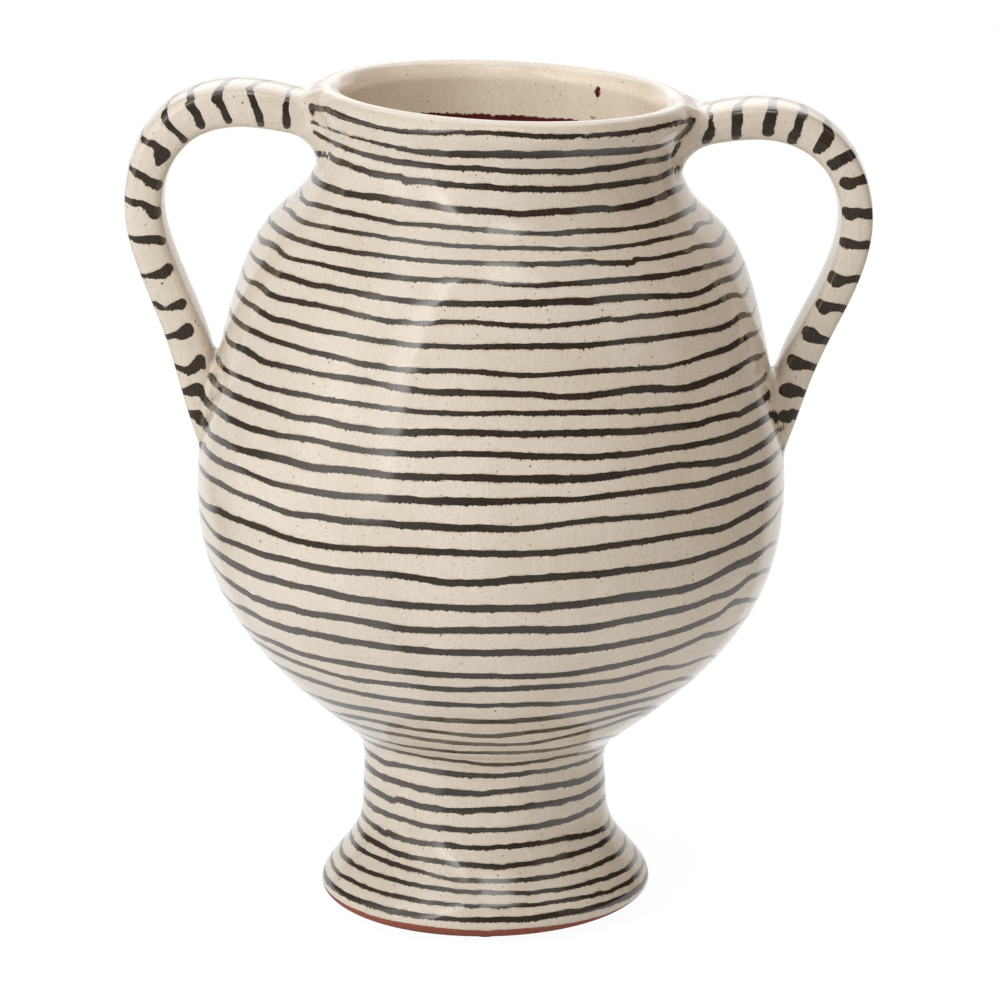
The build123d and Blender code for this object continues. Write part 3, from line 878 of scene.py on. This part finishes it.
def strap_path(side, step):
    """A handle's middle line, from inside the neck's wall to inside the belly's, as (out, up)."""
    neck, tail = (NECK_RADIUS, HANDLE_TOP), (BELLY_RADIUS, HANDLE_TAIL)
    bend = (HANDLE_REACH[side], HANDLE_BEND)
    points = [(NECK_RADIUS - HANDLE_BURY, HANDLE_ROOT)]
    points += [between(neck, bend, out, down) for out, down in RISE_SHARES[side]] + [bend]
    points += [between(bend, tail, way_in, down) for way_in, down in FALL_SHARES[side]]
    points.append((BELLY_RADIUS - HANDLE_BURY, HANDLE_TAIL))
    return flowing(points, None, None, step)


def strap_maker(side, seed):
    """A handle's strap on the right side of the jar: a function that gives its points, its outline, and
    where along it each line of the outline comes out of the neck and goes into the belly."""
    path = strap_path(side, 0.25)
    reach = along(path)
    heading = np.gradient(path, axis=0)
    heading /= np.linalg.norm(heading, axis=1)[:, None]
    ring = strap_outline(STRAP_THICKNESS[side])
    places, widths, depths = zip(*STRAP_SHARES)

    def strap_point(s, k):
        """Points on the strap at distances s along it, for outline points k, as (out, across, up)."""
        middle = np.stack([np.interp(s, reach, path[:, c]) for c in (0, 1)], -1)
        way = np.stack([np.interp(s, reach, heading[:, c]) for c in (0, 1)], -1)
        width = STRAP_WIDTH * np.interp(s / reach[-1], places, widths)
        depth = STRAP_THICKNESS[side] * np.interp(s / reach[-1], places, depths)
        u, v, turn = ring[k, 0], ring[k, 1], ring[k, 2]
        radius = STRAP_EDGE * depth
        a = u * (width / 2 - radius) + radius * np.cos(turn)
        b = v * (depth / 2 - radius) + radius * np.sin(turn)
        # the pulled faces are slightly crowned, and the hand left them uneven
        b = b + 0.5 * v * (np.abs(v) > 0.999) * (1 - u * u)
        a = a + 0.35 * u * (np.abs(u) > 0.999) * (1 - v * v)
        b = b + 0.12 * wander(s / 34.0, seed, 5, 1) + 0.04 * wander(s / 11.0, seed + 1, 5, 1)
        a = a * (1 + 0.012 * wander(s / 40.0, seed + 2, 4, 1))
        return np.stack([middle[..., 0] - way[..., 1] * b, a, middle[..., 1] + way[..., 0] * b], -1)

    def crossings():
        """Where each line of the strap's outline comes out of the neck and goes into the belly."""
        k = np.arange(len(ring))
        fine = np.arange(0, reach[-1], 0.2)
        points = strap_point(np.repeat(fine[:, None], len(ring), 1), np.repeat(k[None, :], len(fine), 0))
        clear = np.hypot(points[..., 0], points[..., 1]) > wall_radius(points[..., 2])
        third = len(fine) // 3
        start = [fine[third - 1 - np.argmax(~clear[:third, i][::-1])] for i in k]
        finish = [fine[2 * third + np.argmax(~clear[2 * third :, i])] for i in k]
        return np.array(start), np.array(finish)

    start, finish = crossings()
    return strap_point, ring, start, finish


def on_wall(points):
    """Where points lie on the body's wall: how far round from +X in radians, and height."""
    return np.arctan2(points[..., 1], points[..., 0]), np.minimum(points[..., 2], WALL_TOP)


def strap_spot(side, s, w):
    """A place on a finished strap: s mm along it, w mm round from the middle of its outer face."""
    strap_point, ring, _, _ = STRAPS[side]
    order = np.argsort(ring[:, 3])
    spot = np.interp(w, ring[order, 3], np.arange(len(ring)))
    low = np.minimum(spot.astype(int), len(ring) - 2)
    share = (spot - low)[..., None]
    points = strap_point(s, order[low]) * (1 - share) + strap_point(s, order[low + 1]) * share
    return settled(points * (side, 1, 1), True)


def found_on_strap(side, marks):
    """The strap's s and w for places that the photo shows at given pixels, with the half thickness."""
    half_round = STRAPS[side][1][:, 3].max()
    seen_round = np.arange(-half_round + 5.0, STRAP_WIDTH / 2 - 1.0, 0.5)
    s, w = np.meshgrid(np.arange(4.0, 190.0, 0.5), seen_round)
    points = strap_spot(side, s, w)
    shown = on_screen(points)
    found_marks = []
    for x, y, half in marks:
        off = np.hypot(shown[..., 0] - x, shown[..., 1] - y)
        # the front of the strap hides what lies behind it
        near = off < off.min() + 3.0
        behind = points[..., 1] - points[..., 1][near].min()
        best = np.argmin(off + 0.3 * np.maximum(behind, 0) + 99 * ~near)
        found_marks.append((s.flat[best], w.flat[best], half / PICTURE_SCALE))
    return found_marks


def dab_strokes(side, dabs, slant):
    """Each dab as a stroke on the strap laid flat: round the strap, and down along it."""
    strokes = []
    corner = STRAP_WIDTH / 2 - 0.2 * STRAP_THICKNESS[side]
    for marks in dabs:
        knots = found_on_strap(side, marks)
        s, w, half = knots[0]
        half = max(half, 1.0)
        # a full dab goes on round the hidden side, and two marks are only a touch of the brush
        if len(marks) > 2:
            if w < -2:
                knots.insert(0, (s + 0.5 * slant, 0.0, half))
            knots.insert(0, (s + slant, corner, half))
            knots.insert(0, (s + slant, corner + 9.0, 1.2 * half))
        strokes.append([(w, s, half) for s, w, half in knots])
    return strokes


def make_strap(name, side, dabs, slant):
    """A pulled strap handle, with a soft luted fillet where it meets the neck and the belly."""
    strap_point, ring, start, finish = STRAPS[side]
    k = np.arange(len(ring))

    def hug(s_wall, steps, way, grow):
        """Rows that run from the wall, spread by grow, onto the strap."""
        foot = strap_point(s_wall, k)
        turn, height = on_wall(foot)
        slope = wall_radius(height + 0.5) - wall_radius(height - 0.5)
        normal = np.stack([np.cos(turn), np.sin(turn), -slope], -1)
        normal /= np.linalg.norm(normal, axis=1)[:, None]
        outward = np.cross(np.roll(foot, -1, 0) - np.roll(foot, 1, 0), normal)
        outward *= np.sign((outward * (foot - foot.mean(0))).sum(1).mean())
        outward -= (outward * normal).sum(1)[:, None] * normal
        outward /= np.linalg.norm(outward, axis=1)[:, None]
        rows = []
        for lift, spread, sink in steps:
            turn, height = on_wall(foot + outward * (spread * grow)[:, None])
            radius = wall_radius(height) + (1 - lift) * wall_push(height, side * (turn + math.pi / 2))
            spread_foot = np.stack([radius * np.cos(turn), radius * np.sin(turn), height], -1)
            rows.append(strap_point(s_wall + way * lift * grow, k) + spread_foot - foot - sink * normal)
        return rows

    # shares of the lift along the strap and of the spread over the wall, and how deep a row is sunk; the
    # first rows lie just inside the wall, so that the fillet's feather edge shades as the wall does
    steps = [(0, 1.3, 0.40), (0, 1.15, 0.15)]
    quarter = np.linspace(0, math.pi / 2, 10)
    steps += [(1 - math.cos(a), 1 - math.sin(a), 0.05 * (a == 0)) for a in quarter]
    down, beside = 0.5 - 0.5 * ring[:, 1], np.abs(ring[:, 0])
    top_grow = 2.6 + 6.2 * down**1.5 + 3.6 * beside**2 * (1 - 0.5 * down)
    tail_grow = 1.8 + 2.4 * down**2 + 1.6 * beside**2
    lift_from, lift_to = start + top_grow, finish - tail_grow
    strap_rows = int(round((lift_to - lift_from).mean() / STRAP_STEP))
    between_rows = [lift_from + (lift_to - lift_from) * i / strap_rows for i in range(1, strap_rows)]
    rows = hug(start, steps, 1.0, top_grow) + [strap_point(s, k) for s in between_rows]
    rows += hug(finish, steps, -1.0, tail_grow)[::-1]
    first = [start + lift * top_grow for lift, _, _ in steps]
    last = [finish - lift * tail_grow for lift, _, _ in steps][::-1]
    place = np.array(first + between_rows + last)
    grid = settled(np.array(rows) * (side, 1, 1), True)

    laid_flat = np.repeat(ring[:, 3][None, :], len(place), 0)
    edge, across = brushed(laid_flat, place, dab_strokes(side, dabs, slant))
    # the lines round the body run out over the luted clay, on the back as on the front
    shown = in_picture(grid)
    for from_root, numbers in ((place - start, TOP_LINES), (finish - place, TAIL_LINES)):
        wall_edge, wall_across = brushed(shown[..., 0], shown[..., 1], picture_strokes(numbers))
        wall_edge = np.where(from_root < ROOT_RUN, wall_edge, FAR)
        edge, across = nearer_of(edge, across, wall_edge, wall_across)
    upper_half = place < (start + finish) / 2
    joined = np.where(upper_half, 1.6 + (place - start), finish - place)
    pool = np.exp(-np.clip(joined, 0, 30) / 1.6)
    nowhere = np.full_like(edge, FAR)
    tips = [settled(np.mean(row, 0) * (side, 1, 1) - [side * 4.0, 0, 0], True) for row in (rows[0], rows[-1])]
    return piece(name, grid, (edge, across, nowhere, nowhere, pool), *tips)


# Materials


def colour(code):
    """An sRGB hex colour as linear RGBA."""
    parts = [int(code[i : i + 2], 16) / 255 for i in (1, 3, 5)]
    return tuple(c / 12.92 if c <= 0.04045 else ((c + 0.055) / 1.055) ** 2.4 for c in parts) + (1.0,)


# Node types that are used often, under a plain name, with the settings that they always have
USUAL = {
    "soft step": ("MapRange", {"interpolation_type": "SMOOTHSTEP"}),
    "fade": ("Mix", {"data_type": "RGBA"}),
}


def add(tree, kind, *inputs, **settings):
    """Add a node and give back its first output. The kind is a node type, a name in USUAL, or in capitals
    a maths operation. Inputs come in the node's own order, or by name in one dictionary, and each is a
    value or another node's output."""
    if kind.isupper():
        kind, settings = "Math", {"operation": kind}
    kind, usual = USUAL.get(kind, (kind, {}))
    made = tree.nodes.new("ShaderNode" + kind)
    for name, value in {**usual, **settings}.items():
        setattr(made, name, value)
    if inputs and isinstance(inputs[0], dict):
        pairs = [(made.inputs[name], value) for name, value in inputs[0].items()]
    else:
        pairs = zip([socket for socket in made.inputs if socket.enabled], inputs)
    for socket, value in pairs:
        if isinstance(value, bpy.types.NodeSocket):
            tree.links.new(value, socket)
        else:
            socket.default_value = value
    return next((socket for socket in made.outputs if socket.enabled), None)


def new_material(name):
    """An empty material and its node tree."""
    made = bpy.data.materials.new(name)
    made.use_nodes = True
    made.node_tree.nodes.clear()
    return made, made.node_tree


def in_mm(tree):
    """Places on a piece, in mm."""
    metres = add(tree, "TexCoord").node.outputs["Object"]
    return add(tree, "VectorMath", metres, 1 / MM, operation="SCALE")


def painted_glaze():
    """Pale slip over red earthenware, brushed with iron-black oxide and dipped in clear glaze.
    The eye gets soft cream with grog specks, hard-topped lines with ragged lower edges, and a wet gloss."""
    material, tree = new_material("slip_and_oxide_under_clear_glaze")
    node = partial(add, tree)
    mm = in_mm(tree)
    carried = [node("Attribute", attribute_name=field).node.outputs["Fac"] for field in FIELDS]
    ink_edge, ink_across, slip_edge, clay_edge, pool = carried

    def cloudy(size, shift=0.0, detail=2.0, rough=0.5, pull=1.0):
        """A cloudy pattern whose grain is about size mm, and longer upright where pull is larger."""
        scale, away = (1 / size, 1 / size, 1 / (size * pull)), (shift, shift * 0.7, shift * 1.3)
        return node("TexNoise", node("Mapping", mm, away, (0, 0, 0), scale), 1.0, detail, rough)

    # Brush edges: the bristles drag short teeth down off the lower edge, about 1 mm apart
    lower = node("soft step", ink_across, 0.5, -0.8)
    teeth = node("SUBTRACT", cloudy(0.75, rough=0.6, pull=2.6), 0.52)
    teeth = node("MULTIPLY", teeth, node("MULTIPLY_ADD", lower, 1.2, 0.30))
    drips = node("soft step", cloudy(1.5, 61.0, 1.0, pull=1.6), 0.62, 0.76, 0.0, -0.32)
    shift = node("MULTIPLY_ADD", drips, lower, teeth)
    shift = node("MULTIPLY_ADD", node("SUBTRACT", cloudy(3.2, 7.0, pull=0.8), 0.5), 0.9, shift)
    # a thin stroke is never bitten through
    edge = node("ADD", ink_edge, node("MINIMUM", shift, 0.07))
    # Thin places where the oxide soaked in, and a halo where it ran into the glaze
    thin = node("soft step", cloudy(0.5, 3.0, rough=0.6), 0.62, 0.80, 1.0, 0.90)
    ink = node("MULTIPLY", node("soft step", edge, 0.10, -0.10), thin)
    halo = node("soft step", cloudy(5.0, 5.0), 0.42, 0.62, 0.0, 0.38)
    halo = node("MULTIPLY", node("soft step", edge, 0.9, 0.0), halo)

    # Slip: cloudy cream, finely mottled, with a faint pull of the dip downwards
    clouds = node("soft step", cloudy(26.0, 11.0, pull=1.6), 0.35, 0.65)
    cream = node("fade", clouds, colour("#E6DDD1"), colour("#DED4C5"))
    for share, shade in (
        (node("soft step", cloudy(0.9, 13.0, 3.0, 0.65), 0.40, 0.62, 0.0, 0.40), "#D0C2AE"),
        (node("soft step", cloudy(0.9, 17.0, pull=14.0), 0.50, 0.72, 0.0, 0.30), "#EFE7DA"),
        (halo, "#9E8661"),
        (node("MULTIPLY", pool, 0.40), "#B99A66"),
    ):
        cream = node("fade", share, cream, colour(shade))
    # Grog and iron specks: mm between them, the share that shows, their spread, shade and strength
    for spacing, keep, spread, shade, strength in (
        (2.1, 0.62, 0.125, "#6A5038", 0.80),
        (6.0, 0.64, 0.060, "#3B2A20", 0.95),
        (3.4, 0.72, 0.110, "#9A6A4C", 0.70),
    ):
        inputs = {"Vector": mm, "Scale": 1 / spacing, "Randomness": 1.0}
        cell = node("TexVoronoi", inputs, feature="F1").node.outputs
        chance = node("SeparateColor", cell["Color"]).node.outputs
        size = node("MULTIPLY_ADD", chance["Green"], spread, spread * 0.45)
        dot = node("soft step", node("DIVIDE", cell["Distance"], size), 1.0, 0.55)
        dot = node("MULTIPLY", dot, node("GREATER_THAN", chance["Red"], keep))
        cream = node("fade", node("MULTIPLY", dot, strength), cream, colour(shade))

    # Oxide: near black, with paler grains where the glaze bubbled and browner patches
    grains = node("soft step", cloudy(0.55, 19.0, rough=0.6), 0.45, 0.72)
    patches = node("soft step", cloudy(9.0, 23.0), 0.40, 0.66, 0.0, 0.35)
    black = node("fade", grains, colour("#342A23"), colour("#4B4039"))
    black = node("fade", patches, black, colour("#40301F"))
    paint = node("fade", ink, cream, black)

    # Bare red ware under clear glaze inside, and unglazed clay at the foot
    ragged = node("MULTIPLY_ADD", node("SUBTRACT", cloudy(1.6, 29.0, 3.0, 0.6), 0.5), 2.4, slip_edge)
    red = node("fade", cloudy(4.0, 31.0, 3.0, 0.6), colour("#43191A"), colour("#5E2A24"))
    paint = node("fade", node("soft step", ragged, 0.25, -0.25), paint, red)
    uneven = node("MULTIPLY_ADD", node("SUBTRACT", cloudy(1.2, 37.0, rough=0.6), 0.5), 0.7, clay_edge)
    bare = node("soft step", uneven, 0.12, -0.12)
    clay = node("fade", cloudy(0.7, 41.0, 3.0, 0.7), colour("#8A4435"), colour("#A65F4C"))
    grog = node("soft step", cloudy(0.6, 43.0, 1.0), 0.66, 0.74)
    paint = node("fade", bare, paint, node("fade", grog, clay, colour("#D8A890")))

    # Gloss: a wet glaze with a slight orange peel and pits, and dry clay where it stops; heights in mm
    height = node("MULTIPLY", cloudy(5.5, 47.0, 1.0), 0.05)
    height = node("MULTIPLY_ADD", cloudy(1.3, 53.0), 0.005, height)
    height = node("MULTIPLY_ADD", node("MULTIPLY", cloudy(0.5, 59.0, rough=0.6), bare), 0.10, height)
    height = node("MULTIPLY_ADD", node("soft step", edge, 0.35, -0.35), 0.012, height)
    look = {
        "Base Color": paint,
        "Roughness": node("MULTIPLY_ADD", bare, 0.72, 0.085),
        # glaze that has taken up iron mirrors more strongly
        "IOR": node("MULTIPLY_ADD", ink, 0.38, 1.5),
        "Normal": node("Bump", {"Height": height, "Distance": MM, "Strength": 1.0}),
    }
    node("OutputMaterial", node("BsdfPrincipled", look))
    return material


def soft_rubber():
    """Black stick-on pads of moulded rubber. The eye gets a matt, slightly dusty near-black."""
    material, tree = new_material("moulded_black_rubber")
    node = partial(add, tree)
    # real dust is finer: it is drawn 0.6 mm coarse so that it shows
    dust = node("TexNoise", in_mm(tree), 1 / 0.6, 3.0)
    look = {
        "Base Color": node("fade", dust, colour("#1B1A19"), colour("#34312E")),
        "Roughness": 0.62,
        "IOR": 1.5,
        "Normal": node("Bump", {"Height": dust, "Distance": 0.03 * MM}),
    }
    node("OutputMaterial", node("BsdfPrincipled", look))
    return material


# Build
STRAPS = {RIGHT: strap_maker(RIGHT, 11), LEFT: strap_maker(LEFT, 21)}
LINE_PATHS = levelled([line_path(number) for number in BODY_LINES], BODY_GAP)
LINE_PATHS += levelled([line_path(number) for number in FOOT_LINES], FOOT_GAP)
TOUCH_PLACES = [(half / PICTURE_SCALE, found(marks, on_body, BODY_SPAN)) for half, *marks in TOUCHES]
glaze = painted_glaze()
clay_pieces = {
    "vessel_body": make_body(),
    "pedestal_foot": make_foot(),
    "handle_right": make_strap("pulled_handle_right", RIGHT, RIGHT_DABS, RIGHT_DAB_SLANT),
    "handle_left": make_strap("pulled_handle_left", LEFT, LEFT_DABS, LEFT_DAB_SLANT),
}
for node_name, made in clay_pieces.items():
    made.data.materials.append(glaze)
    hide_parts(node_name)
    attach(made, "root")
rubber = soft_rubber()
for place in ("front", "right", "back", "left"):
    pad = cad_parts["foot_pad_" + place]
    pad.data.materials.clear()
    pad.data.materials.append(rubber)

# Studio
camera = place_object("camera", bpy.data.cameras.new("camera"))
SCENE.camera = camera
camera.data.sensor_width = 36.0
camera.data.lens = camera.data.sensor_width * CAMERA_PULL / PHOTO_WIDTH
camera.data.clip_end = 20.0
pitch = Matrix.Rotation(math.radians(90 - CAMERA_PITCH), 4, "X")
roll = Matrix.Rotation(math.radians(CAMERA_ROLL), 4, "Z")
camera.matrix_world = Matrix.Translation([c * MM for c in CAMERA_PLACE]) @ pitch @ roll

# Warm light from the surroundings, the window's cooler light, light from above and the mouth's glow
FILL_LEVEL, FILL_TINT = 0.44, (1.0, 0.886, 0.75, 1.0)
WINDOW_WATTS, CEILING_WATTS, MOUTH_WATTS = 17.0, 5.0, 0.042


def by_ray(tree, lighting, mirrored, in_view):
    """A shader that gives one look to light, one to what the gloss mirrors and one to the camera."""
    path = add(tree, "LightPath").node.outputs
    seen = add(tree, "MAXIMUM", path["Is Camera Ray"], path["Is Transmission Ray"])
    unseen = add(tree, "MixShader", path["Is Glossy Ray"], lighting, mirrored)
    return add(tree, "MixShader", seen, unseen, in_view)


def directions(tree, vector):
    """The x, y and z of a vector, and its degrees round from the front, right positive."""
    x, y, z = add(tree, "SeparateXYZ", vector).node.outputs
    turn = add(tree, "ARCTAN2", x, add(tree, "MULTIPLY", y, -1.0))
    return x, y, z, add(tree, "MULTIPLY", turn, 180 / math.pi)


def studio_floor():
    """A broad white floor that keeps a faint shadow."""
    bpy.ops.mesh.primitive_plane_add(size=8.0)
    floor = bpy.context.object
    floor.name = "studio_floor"
    material, tree = new_material("matt_white_studio_paper")
    node = partial(add, tree)
    lit, grey = node("BsdfDiffuse", colour("#FCFDFF")), node("BsdfDiffuse", colour("#505050"))
    faint = node("AddShader", grey, node("Emission", colour("#FFFFFF"), 0.966))
    # the glaze mirrors a dim floor in front of the jar, paler close by, at its left, far out at its left
    # and at its right, and white behind it
    place = node("TexCoord").node.outputs["Object"]
    _, y, _, round_front = directions(tree, place)
    far = node("VectorMath", place, operation="LENGTH")
    level = node("ADD", node("soft step", far, 0.44, 0.19, 0.0, 0.26), 0.15)
    for from_degrees, to_degrees, strength, from_far, to_far in (
        (-33.0, -40.0, 0.46, 0.56, 0.38),
        (-36.0, -50.0, 0.50, 0.62, 1.0),
        (30.0, 52.0, 0.36, 0.60, 0.22),
    ):
        aside = node("soft step", round_front, from_degrees, to_degrees, 0.0, strength)
        level = node("MULTIPLY_ADD", aside, node("soft step", far, from_far, to_far), level)
    behind = node("SUBTRACT", node("DIVIDE", y, far), node("soft step", far, 0.45, 0.8, 0.0, 0.13))
    level = node("MAXIMUM", level, node("soft step", behind, 0.45, 0.71))
    mirrored = node("Emission", colour("#FFFFFF"), level)
    node("OutputMaterial", by_ray(tree, lit, mirrored, faint))
    floor.data.materials.append(material)


def studio_world():
    """White surroundings for the eye, a warm soft fill, and for reflections a large window at the
    front left, a skylight overhead, dark surroundings at the front right and white behind."""
    world = bpy.data.worlds.new("white_studio")
    SCENE.world = world
    world.use_nodes = True
    tree = world.node_tree
    tree.nodes.clear()
    node = partial(add, tree)

    def band(value, low, high, soft_low, soft_high):
        """1 between low and high, falling to 0 over the soft widths outside them."""
        rise = node("soft step", value, low - soft_low, low)
        return node("MULTIPLY", rise, node("soft step", value, high + soft_high, high))

    x, y, z, round_front = directions(tree, node("TexCoord").node.outputs["Generated"])
    rise = node("MULTIPLY", node("ARCSINE", z), 180 / math.pi)
    # the window's right edge leans, so it is further left lower down; the window fades leftwards, and a
    # second, narrower band of it stands further left
    from_edge = node("SUBTRACT", round_front, node("MULTIPLY_ADD", rise, 0.38, -41.0))
    inside = node("soft step", from_edge, 1.0, -1.5)
    core = node("MULTIPLY", inside, node("soft step", from_edge, -17.0, -2.0, 0.0, 2.7))
    core = node("MULTIPLY", core, node("soft step", rise, 3.0, 20.0, 0.15, 1.0))
    off_second = node("DIVIDE", node("ADD", from_edge, 32.0), 7.0)
    second = node("EXPONENT", node("MULTIPLY", node("MULTIPLY", off_second, off_second), -1.0))
    window = node("MULTIPLY_ADD", second, node("soft step", rise, 4.0, 22.0, 0.08, 0.80), core)
    broad = node("soft step", from_edge, -75.0, -8.0, 0.06, 0.62)
    window = node("MULTIPLY_ADD", inside, broad, window)
    skylight = node("MULTIPLY", band(round_front, -2.0, 18.0, 6.0, 22.0), band(rise, 54.0, 74.0, 5.0, 6.0))
    level = node("MULTIPLY_ADD", skylight, 1.9, 0.04)
    # the window, light low on its left, light beside its right edge, a pale strip at the right and
    # light from above on the left
    for first, second in (
        (window, band(rise, 0.0, 46.0, 4.0, 18.0)),
        (band(round_front, -78.0, -44.0, 30.0, 8.0), node("soft step", rise, 18.0, 6.0, 0.0, 0.42)),
        (node("soft step", from_edge, 38.0, 1.0, 0.0, 0.26), node("soft step", from_edge, -0.5, 1.0)),
        (band(round_front, 54.0, 78.0, 4.0, 6.0), node("soft step", rise, 2.0, 26.0, 0.08, 0.26)),
        (node("soft step", rise, 42.0, 70.0), node("soft step", x, 0.35, -0.25, 0.25, 1.0)),
    ):
        level = node("MULTIPLY_ADD", first, second, level)
    # white behind the jar, and a bright panel that hangs over and behind it
    beside_axis = node("ABSOLUTE", x)
    bright = node("soft step", rise, 3.0, 15.0, 0.0, 1.15)
    bright = node("MULTIPLY_ADD", node("soft step", beside_axis, 0.40, 0.14), bright, 1.05)
    behind = node("MULTIPLY", node("soft step", y, 0.60, 0.84), bright)
    panel = node("MULTIPLY", node("soft step", y, -0.02, 0.12), node("soft step", rise, 28.0, 46.0, 0.0, 3.2))
    panel = node("MULTIPLY", panel, node("soft step", beside_axis, 0.52, 0.30))
    level = node("MAXIMUM", level, node("MAXIMUM", behind, panel))

    fill = node("Background", FILL_TINT, FILL_LEVEL)
    mirrored = node("Background", colour("#FFFDFC"), level)
    white = node("Background", colour("#FFFFFF"), 1.0)
    node("OutputWorld", by_ray(tree, fill, mirrored, white))


def soft_box(name, azimuth, elevation, size, watts, tint):
    """A square studio light that faces the jar; azimuth is 0 at the front and positive to the right,
    in degrees. Its mirror image is drawn by the surroundings, so it only lights."""
    lamp = bpy.data.lights.new(name, "AREA")
    lamp.shape = "RECTANGLE"
    lamp.size, lamp.size_y = size, size
    lamp.energy = watts
    lamp.color = colour(tint)[:3]
    made = place_object(name, lamp)
    turn, lift = math.radians(azimuth), math.radians(elevation)
    spin = Matrix.Rotation(turn, 4, "Z") @ Matrix.Rotation(math.pi / 2 - lift, 4, "X")
    offset = (math.sin(turn) * math.cos(lift), -math.cos(turn) * math.cos(lift), math.sin(lift))
    spot = [t * MM + 1.8 * o for t, o in zip((0, 0, 150), offset)]
    made.matrix_world = Matrix.Translation(spot) @ spin
    made.visible_glossy = False


studio_floor()
studio_world()
soft_box("window_front_left", -42, 24, 1.0, WINDOW_WATTS, "#F4FAFF")
soft_box("ceiling_panel", 0, 80, 1.4, CEILING_WATTS, "#FBFCFF")
# the glow that the red inside throws back onto the slip round the mouth
glow = bpy.data.lights.new("glow_in_the_mouth", "POINT")
glow.energy, glow.color, glow.shadow_soft_size = MOUTH_WATTS, (1.0, 0.84, 0.68), 0.02
glow_place = place_object("glow_in_the_mouth", glow)
glow_place.location = [c * MM for c in settled(np.array([6.0, 2.0, 277.0]))]
glow_place.visible_glossy = False

SCENE.view_settings.view_transform = "Standard"
